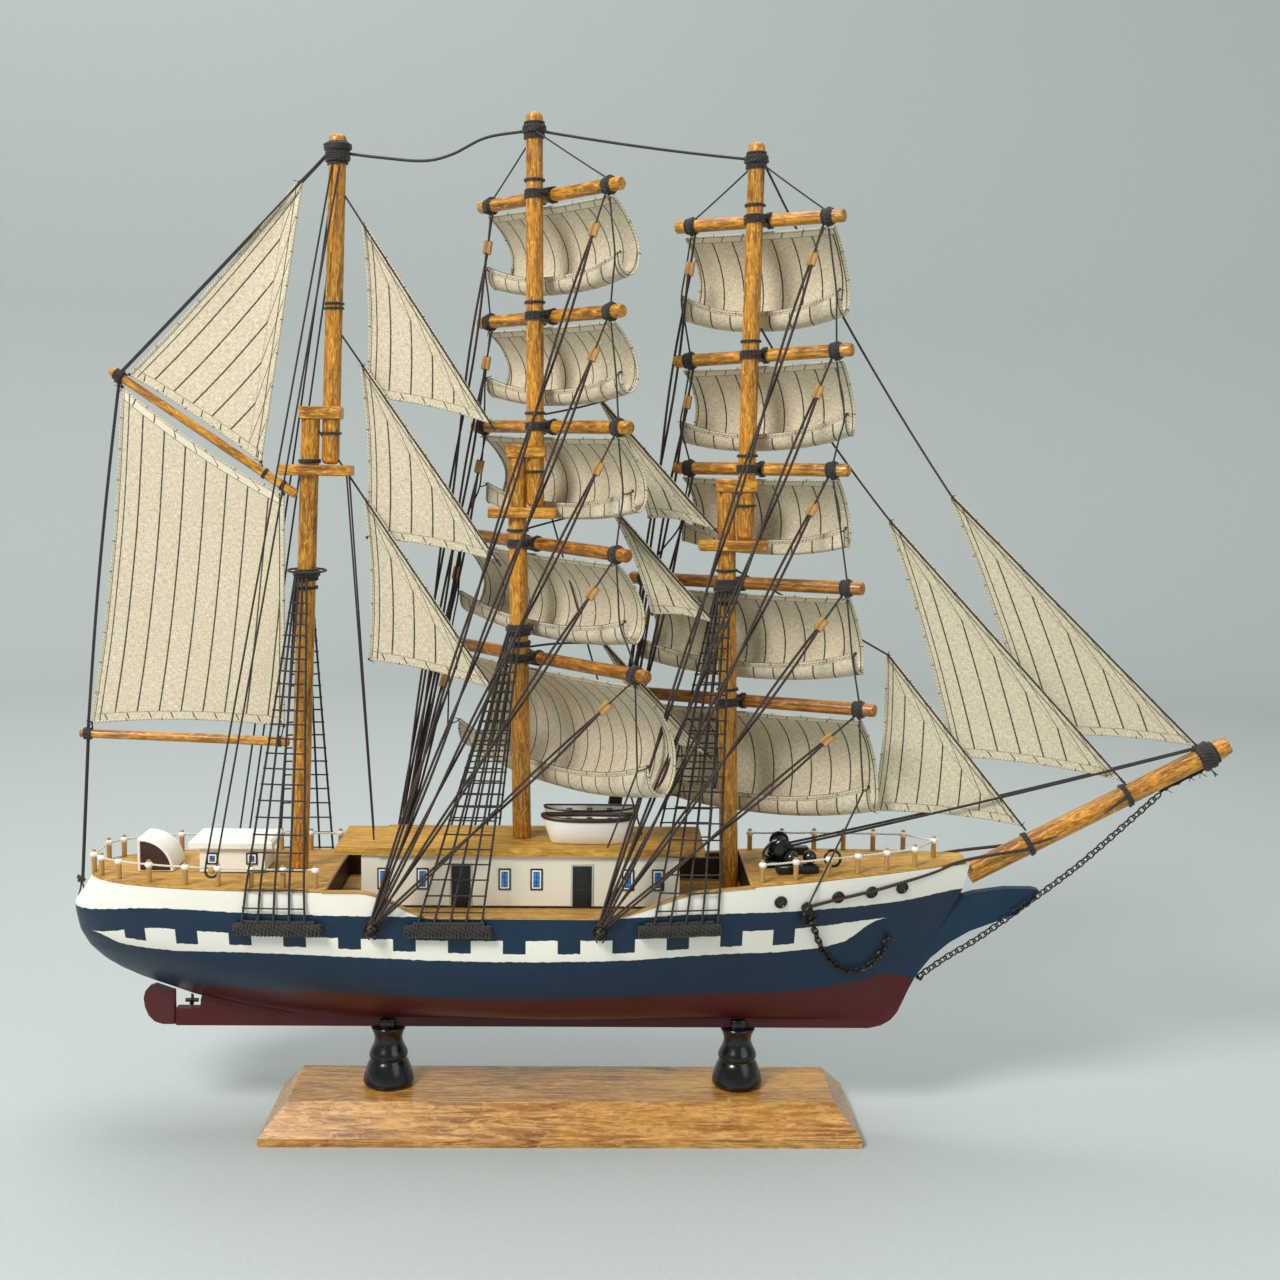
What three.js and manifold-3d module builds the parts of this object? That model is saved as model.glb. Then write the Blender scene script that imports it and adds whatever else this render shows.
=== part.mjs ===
// Model sailing ship: a three-masted wooden ship with square sails on its fore and main masts,
// standing on two turned posts over a bevelled wooden base.
// Millimetres. +X points to the bow, +Y to port, +Z up. The origin is the centre of the
// underside of the base.
import * as THREE from 'three';
import { mergeVertices } from 'three/addons/utils/BufferGeometryUtils.js';
import Module from 'manifold-3d';

const wasm = await Module();
wasm.setup();

// ---------- driving dimensions ----------
const GAP = 0.3;

const BASE_LENGTH = 260.4;
const BASE_WIDTH = 63.4;
const BASE_HEIGHT = 16.3;
const BASE_LIP = 3.9;
const BASE_BEVEL = 11;

const POST_X = 78;
const KEEL_BOTTOM = 43.5;
const KEEL_THICKNESS = 5;
const FORK_HEIGHT = 4;

const HULL_BOTTOM = 47.8;
const HULL_BEAM = 73;
const BULWARK_THICKNESS = 2.2;
const STERN_TOP_X = -206;
const BOW_TOP_X = 178.4;
const BOW_TOP_WIDTH = 14;
const QUARTERDECK_BREAK_X = -100;
const FORECASTLE_BREAK_X = 80;
const WAIST_HEIGHT = 102.4;
const DECK_THICKNESS = 1.2;
const DECK_MARGIN = 1;

const HOUSE_WIDTH = 40;
const HOUSE_AFT_X = -86.8;
const HOUSE_FORE_X = 49.7;
const HOUSE_WALL_TOP = 125.6;
const ROOF_THICKNESS = 3.3;
const ROOF_WIDTH = 44;

const LOWER_MAST_RADIUS = 4.1;
const TOPMAST_RADIUS = 3.8;
const TOPMAST_TIP_RADIUS = 3.6;
const YARD_RADIUS = 2.8;
const SAIL_THICKNESS = 0.8;

const WAIST_DECK_TOP = WAIST_HEIGHT - 0.9 + DECK_THICKNESS;
const HOUSE_BOTTOM = WAIST_DECK_TOP + GAP;
const ROOF_TOP = HOUSE_WALL_TOP + GAP + ROOF_THICKNESS;

// ---------- small helpers ----------
const vector = (x, y, z) => new THREE.Vector3(x, y, z);
const mix = (a, b, t) => a + (b - a) * t;
const clamp01 = (t) => Math.min(1, Math.max(0, t));
const smooth = (t) => clamp01(t) ** 2 * (3 - 2 * clamp01(t));

// Value at x on a line through (x, value) pairs.
function along(pairs, x) {
  if (x <= pairs[0][0]) return pairs[0][1];
  for (let i = 1; i < pairs.length; i += 1) {
    const [x0, v0] = pairs[i - 1];
    const [x1, v1] = pairs[i];
    if (x <= x1) return mix(v0, v1, (x - x0) / (x1 - x0));
  }
  return pairs[pairs.length - 1][1];
}

function solidOf(geometry) {
  const bare = geometry.clone();
  bare.deleteAttribute('normal');
  bare.deleteAttribute('uv');
  const merged = mergeVertices(bare, 1e-4);
  return new wasm.Manifold(new wasm.Mesh({
    numProp: 3,
    vertProperties: new Float32Array(merged.attributes.position.array),
    triVerts: new Uint32Array(merged.index.array),
  }));
}

function geometryOf(solid) {
  const mesh = solid.getMesh();
  const geometry = new THREE.BufferGeometry();
  geometry.setAttribute('position', new THREE.BufferAttribute(new Float32Array(mesh.vertProperties), 3));
  geometry.setIndex(new THREE.BufferAttribute(new Uint32Array(mesh.triVerts), 1));
  geometry.computeVertexNormals();
  return geometry;
}

function union(geometries) {
  return geometryOf(geometries.map(solidOf).reduce((a, b) => a.add(b)));
}

function cut(geometry, tools) {
  return geometryOf(tools.map(solidOf).reduce((a, b) => a.subtract(b), solidOf(geometry)));
}

function block(xMin, xMax, yMin, yMax, zMin, zMax) {
  const geometry = new THREE.BoxGeometry(xMax - xMin, yMax - yMin, zMax - zMin);
  return geometry.translate((xMin + xMax) / 2, (yMin + yMax) / 2, (zMin + zMax) / 2);
}

// Straight round bar from one point to another.
function bar(from, to, startRadius, endRadius = startRadius, sides = 16) {
  const length = from.distanceTo(to);
  const geometry = new THREE.CylinderGeometry(endRadius, startRadius, length, sides);
  const turn = new THREE.Quaternion().setFromUnitVectors(vector(0, 1, 0), to.clone().sub(from).normalize());
  const middle = from.clone().add(to).multiplyScalar(0.5);
  return geometry.applyMatrix4(new THREE.Matrix4().compose(middle, turn, vector(1, 1, 1)));
}

// Flat plate standing in the X-Z plane, from its outline.
function standingPlate(outline, thickness, yCentre = 0) {
  const shape = new THREE.Shape(outline.map(([x, z]) => new THREE.Vector2(x, z)));
  const geometry = new THREE.ExtrudeGeometry(shape, { depth: thickness, bevelEnabled: false });
  geometry.rotateX(Math.PI / 2);
  return geometry.translate(0, yCentre + thickness / 2, 0);
}

// Closed body through rings of points; every ring has the same number of points.
function loft(rings) {
  const count = rings[0].length;
  const positions = rings.flat().flatMap((p) => [p.x, p.y, p.z]);
  const index = [];
  for (let r = 0; r + 1 < rings.length; r += 1) {
    for (let k = 0; k < count; k += 1) {
      const a = r * count + k;
      const b = r * count + ((k + 1) % count);
      index.push(a, b, b + count, a, b + count, a + count);
    }
  }
  const last = (rings.length - 1) * count;
  for (let k = 1; k + 1 < count; k += 1) {
    index.push(0, k + 1, k);
    index.push(last, last + k, last + k + 1);
  }
  return closedGeometry(positions, index);
}

function closedGeometry(positions, index) {
  const geometry = new THREE.BufferGeometry();
  geometry.setAttribute('position', new THREE.BufferAttribute(new Float32Array(positions), 3));
  geometry.setIndex(index);
  const solid = solidOf(geometry);
  if (solid.volume() > 0) return geometryOf(solid);
  const turned = [];
  for (let i = 0; i < index.length; i += 3) turned.push(index[i], index[i + 2], index[i + 1]);
  geometry.setIndex(turned);
  return geometryOf(solidOf(geometry));
}

// Cloth or board of even thickness over a grid of points, rows[i][j].
function thickSheet(rows, thickness) {
  const high = rows.length;
  const wide = rows[0].length;
  const at = (i, j) => rows[Math.min(high - 1, Math.max(0, i))][Math.min(wide - 1, Math.max(0, j))];
  const front = [];
  const back = [];
  for (let i = 0; i < high; i += 1) {
    for (let j = 0; j < wide; j += 1) {
      const down = at(i + 1, j).clone().sub(at(i - 1, j));
      const across = at(i, j + 1).clone().sub(at(i, j - 1));
      const normal = across.cross(down).normalize().multiplyScalar(thickness / 2);
      front.push(at(i, j).clone().add(normal));
      back.push(at(i, j).clone().sub(normal));
    }
  }
  const positions = [...front, ...back].flatMap((p) => [p.x, p.y, p.z]);
  const offset = high * wide;
  const index = [];
  const quad = (a, b, c, d) => index.push(a, b, c, a, c, d);
  for (let i = 0; i + 1 < high; i += 1) {
    for (let j = 0; j + 1 < wide; j += 1) {
      const a = i * wide + j;
      quad(a, a + 1, a + wide + 1, a + wide);
      quad(offset + a, offset + a + wide, offset + a + wide + 1, offset + a + 1);
    }
  }
  for (let j = 0; j + 1 < wide; j += 1) {
    const top = j;
    const bottom = (high - 1) * wide + j;
    quad(top + 1, top, offset + top, offset + top + 1);
    quad(bottom, bottom + 1, offset + bottom + 1, offset + bottom);
  }
  for (let i = 0; i + 1 < high; i += 1) {
    const left = i * wide;
    const right = i * wide + wide - 1;
    quad(left, left + wide, offset + left + wide, offset + left);
    quad(right + wide, right, offset + right, offset + right + wide);
  }
  return closedGeometry(positions, index);
}

// ---------- materials ----------
const colours = {
  varnished_wood: [0xb8742c, 0.35],
  deck_wood: [0xb98a4e, 0.6],
  roof_wood: [0xb5792f, 0.45],
  hull_paint: [0x1d3a52, 0.4],
  bottom_paint: [0x6b1f20, 0.45],
  white_paint: [0xeee9df, 0.5],
  black_gloss: [0x14161a, 0.25],
  dark_metal: [0x1b1c20, 0.4],
  brass: [0x8c6f3c, 0.35],
  linen: [0xcabfa6, 0.95],
  rail_cord: [0xe9e2d0, 0.8],
};

const group = new THREE.Group();

function add(name, slot, geometry) {
  const [colour, roughness] = colours[slot];
  const material = new THREE.MeshStandardMaterial({ color: colour, roughness });
  material.name = slot;
  const mesh = new THREE.Mesh(geometry, material);
  mesh.name = name;
  group.add(mesh);
}

// ---------- stand ----------
function standBase() {
  const rectangle = (inset, z) => {
    const x = BASE_LENGTH / 2 - inset;
    const y = BASE_WIDTH / 2 - inset;
    return [vector(-x, -y, z), vector(x, -y, z), vector(x, y, z), vector(-x, y, z)];
  };
  return loft([rectangle(0, 0), rectangle(0, BASE_LIP), rectangle(BASE_BEVEL, BASE_HEIGHT)]);
}

// Turned post with a bell foot, and two tabs that hold the keel between them.
function standPost(x) {
  const bottom = BASE_HEIGHT + GAP;
  const top = KEEL_BOTTOM - GAP;
  const profile = [
    [0, bottom], [10.4, bottom], [11.2, bottom + 2.2], [10, bottom + 6.4], [8, bottom + 10],
    [7.4, bottom + 11.4], [8.4, bottom + 12.8], [8.5, bottom + 14.4], [7.3, bottom + 16.4],
    [6.9, bottom + 19.4], [7.2, top - 3.4], [7.8, top - 1.6], [7.8, top], [0, top],
  ];
  const turned = new THREE.LatheGeometry(profile.map(([r, z]) => new THREE.Vector2(r, z)), 24);
  turned.rotateX(Math.PI / 2);
  turned.translate(x, 0, 0);
  const slot = KEEL_THICKNESS / 2 + GAP;
  const tabs = block(x - 3.2, x + 3.2, -slot - 2, slot + 2, top - 3, KEEL_BOTTOM + FORK_HEIGHT);
  const gap = block(x - 9, x + 9, -slot, slot, top, KEEL_BOTTOM + FORK_HEIGHT + 1);
  return cut(union([turned, tabs]), [gap]);
}

// ---------- hull ----------
const sternProfile = [
  [47.8, -122], [50, -127], [52.2, -143.7], [56.2, -160.4], [60.8, -173.5], [65.1, -186],
  [69.7, -195.7], [74.3, -202.7], [80.8, -208.8], [88.2, -212.2], [97, -213.4], [102, -213.6],
  [107, -209.5], [113.5, STERN_TOP_X],
];
const bowProfile = [
  [47.8, 138], [54.8, 148.5], [67.4, 154], [78, 160], [90, 167], [100, 172], [108.5, 175.8],
  [120.5, BOW_TOP_X],
];
const sheerPairs = [[-213, 113.6], [-100, 113], [60, 113.8], [85, 115.6], [178, 120.4]];

function sheer(x) {
  const dip = Math.min(smooth((x + 86) / 32), smooth((62 - x) / 46));
  return mix(along(sheerPairs, x), WAIST_HEIGHT, dip);
}

// Half width of the hull at share u of its length, on level v from keel (0) to sheer (1).
function hullPoint(u, v) {
  const levelAft = HULL_BOTTOM + v * (113.5 - HULL_BOTTOM);
  const levelFore = HULL_BOTTOM + v * (120.4 - HULL_BOTTOM);
  const xAft = along(sternProfile, levelAft);
  const xFore = along(bowProfile, levelFore);
  const x = mix(xAft, xFore, u);
  const full = (HULL_BEAM / 2) * Math.sqrt(1 - (1 - v) ** 2.6);
  const run = 1 - clamp01(u / mix(0.5, 0.3, v));
  const entry = clamp01((u - mix(0.42, 0.57, v)) / mix(0.58, 0.43, v));
  const aftShape = (1 - run ** mix(1.25, 3, v)) ** (1 / mix(0.95, 2.6, smooth(v * 1.15)));
  const foreShape = 1 - entry ** mix(1.35, 2.3, v);
  const bowEnd = mix(KEEL_THICKNESS / 2, BOW_TOP_WIDTH / 2, smooth((v - 0.55) / 0.45));
  const keelEdge = KEEL_THICKNESS / 2 * clamp01(u / 0.03);
  const half = Math.max(keelEdge, Math.min(full * aftShape, bowEnd + (full - bowEnd) * foreShape));
  const z = HULL_BOTTOM + v * (sheer(x) - HULL_BOTTOM);
  return vector(x, u === 0 ? 0 : half, z);
}

// Half width of the hull's top edge at x.
function topHalfWidth(x) {
  return hullPoint(clamp01((x - STERN_TOP_X) / (BOW_TOP_X - STERN_TOP_X)), 1).y;
}

function hull() {
  const stations = 44;
  const levels = 12;
  const share = (i) => {
    const t = i / stations;
    return 0.55 * t + 0.45 * (1 - Math.cos(Math.PI * t)) / 2;
  };
  const level = (j) => (j / levels) ** 0.9;
  const rings = [];
  for (let i = 0; i <= stations; i += 1) {
    const side = [];
    for (let j = 0; j <= levels; j += 1) side.push(hullPoint(share(i), level(j)));
    const port = side.slice().reverse();
    rings.push([...side.map((p) => vector(p.x, -p.y, p.z)), ...port]);
  }
  const half = levels + 1;
  const count = 2 * half;
  const positions = rings.flat().flatMap((p) => [p.x, p.y, p.z]);
  const index = [];
  for (let i = 0; i < stations; i += 1) {
    for (let k = 0; k < count; k += 1) {
      const a = i * count + k;
      const b = i * count + ((k + 1) % count);
      index.push(a, b, b + count, a, b + count, a + count);
    }
  }
  for (let j = 0; j < levels; j += 1) {
    const a = stations * count + j;
    const b = stations * count + count - 1 - j;
    index.push(a, a + 1, b - 1, a, b - 1, b);
  }
  const shell = closedGeometry(positions, index);
  const wellFloor = WAIST_HEIGHT - 0.9 - GAP;
  const edges = [QUARTERDECK_BREAK_X, -90, -70, -45, -20, 0, 20, 40, 60, FORECASTLE_BREAK_X];
  const well = loft(edges.map((x) => {
    const y = topHalfWidth(x) - BULWARK_THICKNESS;
    return [vector(x, -y, wellFloor), vector(x, y, wellFloor), vector(x, y, 130), vector(x, -y, 130)];
  }));
  return cut(shell, [well]);
}

// Thin deck that follows the sheer between two positions.
function upperDeck(xAft, xFore, steps) {
  const rings = [];
  for (let i = 0; i <= steps; i += 1) {
    const x = mix(xAft, xFore, (1 - Math.cos((Math.PI * i) / steps)) / 2);
    const y = topHalfWidth(x) - DECK_MARGIN;
    const low = sheer(x) + GAP;
    const high = low + DECK_THICKNESS;
    rings.push([vector(x, -y, low), vector(x, y, low), vector(x, y, high), vector(x, -y, high)]);
  }
  return loft(rings);
}

function waistDeck() {
  const low = WAIST_DECK_TOP - DECK_THICKNESS;
  const edges = [QUARTERDECK_BREAK_X + GAP, -90, -70, -45, -20, 0, 20, 40, 60, FORECASTLE_BREAK_X - GAP];
  return loft(edges.map((x) => {
    const y = topHalfWidth(x) - BULWARK_THICKNESS - GAP;
    return [
      vector(x, -y, low), vector(x, y, low),
      vector(x, y, WAIST_DECK_TOP), vector(x, -y, WAIST_DECK_TOP),
    ];
  }));
}

// Keel, stern post, stem and cutwater in one flat board round the hull's centre line.
function keel() {
  const clear = GAP + 0.1;
  const hullUnderside = [
    [138 + clear, HULL_BOTTOM - clear], [-121, HULL_BOTTOM - clear], [-143.7, 51.8 - clear],
    [-160.4, 55.8 - clear],
  ];
  const stemInside = [
    [182, 105.9], [177.3, 104.6], [172 + clear + 0.4, 99], [167.4 + clear, 90], [160.3 + clear, 78],
    [154.4 + clear, 67.4], [149.2 + clear, 54.8],
  ];
  const outside = [
    [-171.4, 51.2], [-171.4, KEEL_BOTTOM], [136.5, KEEL_BOTTOM], [142.1, 44.8], [146.2, 47.3],
    [149.2, 51], [151.2, 55.5], [154, 62], [157.4, 68.5], [163.3, 76.1], [171.6, 83.2],
    [180.4, 88.4], [192.3, 92.9], [199.8, 95.7], [205.5, 99.8], [209.6, 104], [210.8, 107.2],
    [208.3, 107.8], [196, 107.9],
  ];
  return standingPlate([...outside, ...stemInside, ...hullUnderside, [-160.6, 51.2]], KEEL_THICKNESS);
}

function rudder() {
  const outline = [
    [-173, 43.6], [-177.6, 43.6], [-181.2, 44.8], [-183.8, 47.6], [-185.3, 51.4], [-185.8, 55.4],
    [-185, 58.6], [-183, 60.9], [-180.3, 61.8], [-173, 59.2],
  ];
  const blade = standingPlate(outline, 2.6);
  const stock = bar(vector(-173, 0, 43.6), vector(-173, 0, 59.2), 1.3, 1.3, 12);
  return union([blade, stock]);
}

const PROPELLER_X = -164.6;
const PROPELLER_Z = 54.3;

function propeller() {
  const hub = bar(vector(-3, 0, 0), vector(2.6, 0, 0), 0.9, 0.9, 10);
  const pieces = [hub];
  for (let i = 0; i < 3; i += 1) {
    const blade = block(-0.35, 0.35, -0.9, 0.9, 0.4, 2.7);
    blade.rotateZ(0.6);
    blade.rotateX((i * 2 * Math.PI) / 3);
    pieces.push(blade);
  }
  return union(pieces).translate(PROPELLER_X, 0, PROPELLER_Z);
}

// ---------- deck fittings ----------
function deckhouse() {
  return block(HOUSE_AFT_X, HOUSE_FORE_X, -HOUSE_WIDTH / 2, HOUSE_WIDTH / 2, HOUSE_BOTTOM, HOUSE_WALL_TOP);
}

function deckhouseRoof() {
  const low = HOUSE_WALL_TOP + GAP;
  const main = block(-80, 60.4, -ROOF_WIDTH / 2, ROOF_WIDTH / 2, low, ROOF_TOP);
  const aft = block(-98, -79, -ROOF_WIDTH / 2 + 0.7, ROOF_WIDTH / 2 - 0.7, low, ROOF_TOP - 0.5);
  return union([main, aft]);
}

const QUARTERDECK_TOP = 113.6 + GAP + DECK_THICKNESS;

function aftCabin() {
  const body = block(-157.8, -129.8, -10.5, 10.5, QUARTERDECK_TOP + 0.2, 126.6);
  const lid = loft([
    [vector(-162.2, -12.6, 126), vector(-126.2, -12.6, 126), vector(-126.2, 12.6, 126), vector(-162.2, 12.6, 126)],
    [vector(-162.2, -12.6, 128.4), vector(-126.2, -12.6, 128.4), vector(-126.2, 12.6, 128.4),
      vector(-162.2, 12.6, 128.4)],
    [vector(-161, -11.2, 129.4), vector(-127.4, -11.2, 129.4), vector(-127.4, 11.2, 129.4),
      vector(-161, 11.2, 129.4)],
  ]);
  return union([body, lid]);
}

// Quarter-round steering gear box: upright aft face, curved top that falls forward.
function wheelBox() {
  const low = QUARTERDECK_TOP + 0.2;
  const high = 129.4;
  const aft = -184.6;
  const fore = -169.4;
  const outline = [[aft, low], [fore, low]];
  for (let i = 1; i <= 8; i += 1) {
    const angle = (Math.PI / 2) * (i / 8);
    outline.push([mix(aft, fore, Math.cos(angle)), mix(low, high, Math.sin(angle))]);
  }
  return standingPlate(outline, 20);
}

function lifeboat(yCentre) {
  const low = ROOF_TOP + GAP;
  const high = low + 12;
  const centre = 10.6;
  const ring = (halfLength, halfWidth, z) => {
    const points = [];
    for (let i = 0; i < 20; i += 1) {
      const angle = (i / 20) * 2 * Math.PI;
      const side = Math.sign(Math.sin(angle)) * Math.abs(Math.sin(angle)) ** 0.8;
      points.push(vector(centre + halfLength * Math.cos(angle), yCentre + halfWidth * side, z));
    }
    return points;
  };
  const shell = loft([ring(16.4, 4.2, low), ring(18.6, 6, low + 5), ring(20.8, 7, high)]);
  const inside = loft([ring(17.4, 4.8, high - 3), ring(19.4, 5.8, high + 1)]);
  return cut(shell, [inside]);
}

// Anchor winch: bedplate, two cheeks and a drum with round warping ends.
function windlass() {
  const deck = sheer(106) + 2 * GAP + DECK_THICKNESS;
  return union([
    block(85, 106, -8, 8, deck, deck + 2.4),
    block(92, 99, -6.4, -4.6, deck + 2, deck + 10),
    block(92, 99, 4.6, 6.4, deck + 2, deck + 10),
    bar(vector(95.5, -8.6, deck + 8), vector(95.5, 8.6, deck + 8), 2.6),
    bar(vector(95.5, -9.6, deck + 8), vector(95.5, -7.8, deck + 8), 4.4),
    bar(vector(95.5, 7.8, deck + 8), vector(95.5, 9.6, deck + 8), 4.4),
  ]);
}

// Open rail: posts joined near their tops by a thin line.
function rail(places, height) {
  const pieces = [];
  const tops = places.map(([x, y]) => {
    const foot = sheer(x) + 2 * GAP + DECK_THICKNESS;
    const post = vector(x, y, foot);
    const top = vector(x, y, foot + height);
    pieces.push(bar(post, top, 1.05, 1.05, 8));
    return vector(x, y, foot + height - 1.4);
  });
  for (let i = 0; i + 1 < tops.length; i += 1) pieces.push(bar(tops[i], tops[i + 1], 0.45, 0.45, 6));
  return union(pieces);
}

function quarterdeckRail() {
  const places = [-104, -117.5, -131, -145, -159, -175, -189, -198, -203].map((x) => [x, railHalfWidth(x)]);
  const port = places.map(([x, y]) => [x, y]);
  const starboard = places.slice().reverse().map(([x, y]) => [x, -y]);
  return rail([...port, ...starboard], 9);
}

function forecastleRail() {
  const places = [84.5, 99, 113.5, 126.5, 139.5, 152.5].map((x) => [x, railHalfWidth(x)]);
  const starboard = places.map(([x, y]) => [x, -y]);
  const port = places.slice().reverse();
  return rail([...starboard, [163.5, 0], ...port], 9);
}

function railHalfWidth(x) {
  return topHalfWidth(x) - DECK_MARGIN - 1.8;
}

// ---------- spars ----------
const mizzenLower = { foot: vector(-117, 0, QUARTERDECK_TOP + 0.2), head: vector(-110, 0, 313) };
const mizzenTop = { foot: vector(-101.9, 0, 291.4), head: vector(-97.6, 0, 429) };
const mainLower = { foot: vector(-19.1, 0, ROOF_TOP + GAP), head: vector(-22.3, 0, 298) };
const mainTop = { foot: vector(-14.1, 0, 274.4), head: vector(-15.6, 0, 439.5) };
const foreLower = { foot: vector(72.8, 0, WAIST_DECK_TOP + GAP), head: vector(68.1, 0, 284.5) };
const foreTop = { foot: vector(76.6, 0, 261.4), head: vector(78.3, 0, 428.8) };

function onMast(mast, z) {
  return mix(mast.foot.x, mast.head.x, (z - mast.foot.z) / (mast.head.z - mast.foot.z));
}

// Lower mast with its crosstree board and the cap that holds the topmast in front of it.
function lowerMast(mast, top, boardLength, boardCentre) {
  const pole = bar(mast.foot, mast.head, LOWER_MAST_RADIUS, LOWER_MAST_RADIUS - 0.2);
  const boardTop = top.foot.z - GAP;
  const boardX = onMast(mast, boardTop) + boardCentre;
  const board = block(boardX - boardLength / 2, boardX + boardLength / 2, -6, 6, boardTop - 4.6, boardTop);
  const capLow = mast.head.z - 2.5;
  const aft = onMast(mast, capLow) - 4.4;
  const fore = onMast(top, capLow) + 4.6;
  const cap = block(aft, fore, -4.8, 4.8, capLow, capLow + 5.4);
  const bore = bar(
    vector(onMast(top, capLow - 2), 0, capLow - 2),
    vector(onMast(top, capLow + 8), 0, capLow + 8),
    TOPMAST_RADIUS + GAP,
  );
  return cut(union([pole, board, cap]), [bore]);
}

function topmast(top) {
  return bar(top.foot, top.head, TOPMAST_RADIUS, TOPMAST_TIP_RADIUS);
}

const BOWSPRIT_ROOT = vector(179.4, 0, 114);
const BOWSPRIT_TIP = vector(293.1, 0, 173.1);

function bowsprit() {
  const direction = BOWSPRIT_TIP.clone().sub(BOWSPRIT_ROOT).normalize();
  const start = BOWSPRIT_ROOT.clone().addScaledVector(direction, -12);
  const spar = bar(start, BOWSPRIT_TIP, 4.7, 4.4, 20);
  const behind = block(150, BOW_TOP_X + GAP, -20, 20, 80, 140);
  return cut(spar, [behind]);
}

// ---------- square sails on their yards ----------
const MAIN_BRACE = THREE.MathUtils.degToRad(50);
const FORE_BRACE = THREE.MathUtils.degToRad(30);

// height of the yard, its length, how far it sits to starboard, end tilt, drop of its sail
const mainYards = [
  { z: 405.9, length: 96, slide: 0, tilt: 0, drop: 41 },
  { z: 355.3, length: 98, slide: 0, tilt: 0, drop: 38 },
  { z: 308.7, length: 108, slide: 0, tilt: 0.5, drop: 40 },
  { z: 258.6, length: 124, slide: 2.3, tilt: 2.2, drop: 42 },
  { z: 208.7, length: 146, slide: 2.6, tilt: 0.8, drop: 58 },
];
const foreYards = [
  { z: 397.2, length: 79, slide: -1.4, tilt: -0.4, drop: 46 },
  { z: 340.3, length: 84, slide: 2, tilt: -1.9, drop: 41 },
  { z: 291.8, length: 83, slide: 2.8, tilt: -0.1, drop: 38 },
  { z: 242.2, length: 112, slide: 4.2, tilt: -0.2, drop: 43 },
  { z: 190.2, length: 122, slide: 4.8, tilt: -0.8, drop: 52 },
];
const yardNames = ['royal', 'topgallant', 'upper_topsail', 'lower_topsail', 'course'];

// Belly of a square sail: forward reach and fall from the yard, as shares of the drop.
const bellyCurve = [
  [0, 0], [0.13, -0.1], [0.27, -0.27], [0.36, -0.48], [0.385, -0.68], [0.35, -0.85],
  [0.27, -0.96], [0.19, -1], [0.13, -0.96], [0.115, -0.88],
];

function yardFrame(yard, brace, mast, mastRadius) {
  const along = vector(Math.cos(brace), -Math.sin(brace), -2 * yard.tilt / yard.length).normalize();
  const forward = vector(Math.sin(brace), Math.cos(brace), 0);
  const centre = vector(onMast(mast, yard.z), 0, yard.z);
  centre.addScaledVector(forward, mastRadius + YARD_RADIUS + 0.4);
  centre.addScaledVector(along, yard.slide);
  return { along, forward, centre };
}

function yardSpar(yard, frame) {
  const half = yard.length / 2;
  const port = frame.centre.clone().addScaledVector(frame.along, -half);
  const starboard = frame.centre.clone().addScaledVector(frame.along, half);
  return bar(port, starboard, YARD_RADIUS, YARD_RADIUS, 14);
}

function squareSail(yard, frame) {
  const start = -YARD_RADIUS - SAIL_THICKNESS / 2 - GAP;
  const rows = bellyCurve.map(([reach, fall]) => {
    const spread = (yard.length / 2) * mix(0.9, 0.96, -fall);
    return [-1, -0.33, 0.33, 1].map((side) => frame.centre.clone()
      .addScaledVector(frame.along, side * spread)
      .addScaledVector(frame.forward, reach * yard.drop)
      .add(vector(0, 0, start + fall * (yard.drop + start))));
  });
  return thickSheet(rows, SAIL_THICKNESS);
}

function addYards(mastName, yards, brace, lower, top) {
  yards.forEach((yard, i) => {
    const onTop = i < 3;
    const frame = yardFrame(yard, brace, onTop ? top : lower, onTop ? TOPMAST_RADIUS : LOWER_MAST_RADIUS);
    add(`${mastName}_${yardNames[i]}_yard`, 'varnished_wood', yardSpar(yard, frame));
    add(`${mastName}_${yardNames[i]}_sail`, 'linen', squareSail(yard, frame));
  });
}

// ---------- fore-and-aft sails ----------
// Flat three- or four-cornered sail through (x, y, z) corners.
function flatSail(corners) {
  const points = corners.map(([x, y, z]) => vector(x, y, z));
  const last = points.length === 3 ? points[2] : points[3];
  return thickSheet([[points[0], points[1]], [last, points[2]]], SAIL_THICKNESS);
}

function triangleSail(corners) {
  const [a, b, c] = corners.map(([x, y, z]) => vector(x, y, z));
  const normal = b.clone().sub(a).cross(c.clone().sub(a)).normalize().multiplyScalar(SAIL_THICKNESS / 2);
  return loft([
    [a, b, c].map((p) => p.clone().sub(normal)),
    [a, b, c].map((p) => p.clone().add(normal)),
  ]);
}

const staysails = {
  mizzen_upper_staysail: [[-86.6, 0, 391], [-33.7, 0, 310], [-86.9, 4, 320.6]],
  mizzen_middle_staysail: [[-87.8, 0, 333.2], [-30.5, 0, 251], [-86.8, 4, 260.1]],
  mizzen_lower_staysail: [[-86.4, 0, 275.5], [-32, 0, 195], [-85.6, 0, 207.5]],
  main_upper_staysail: [[14, 0, 319.7], [63.6, 0, 265.6], [35, 0, 270.6]],
  main_middle_staysail: [[19, 0, 274.6], [64.4, 0, 224.9], [36.9, 0, 228.5]],
  main_lower_staysail: [[16.5, 0, 215], [62, 0, 167], [36, 0, 172]],
  outer_jib: [[166.2, 0, 281], [278.6, 0, 173], [207.7, 7, 175.9]],
  inner_jib: [[139.6, 0, 270.2], [246, 0, 157.2], [171.6, 3.5, 166.6]],
  fore_topmast_staysail: [[140.5, 0, 211.7], [202.5, 0, 136.2], [136, 0, 142.4]],
};

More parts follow.
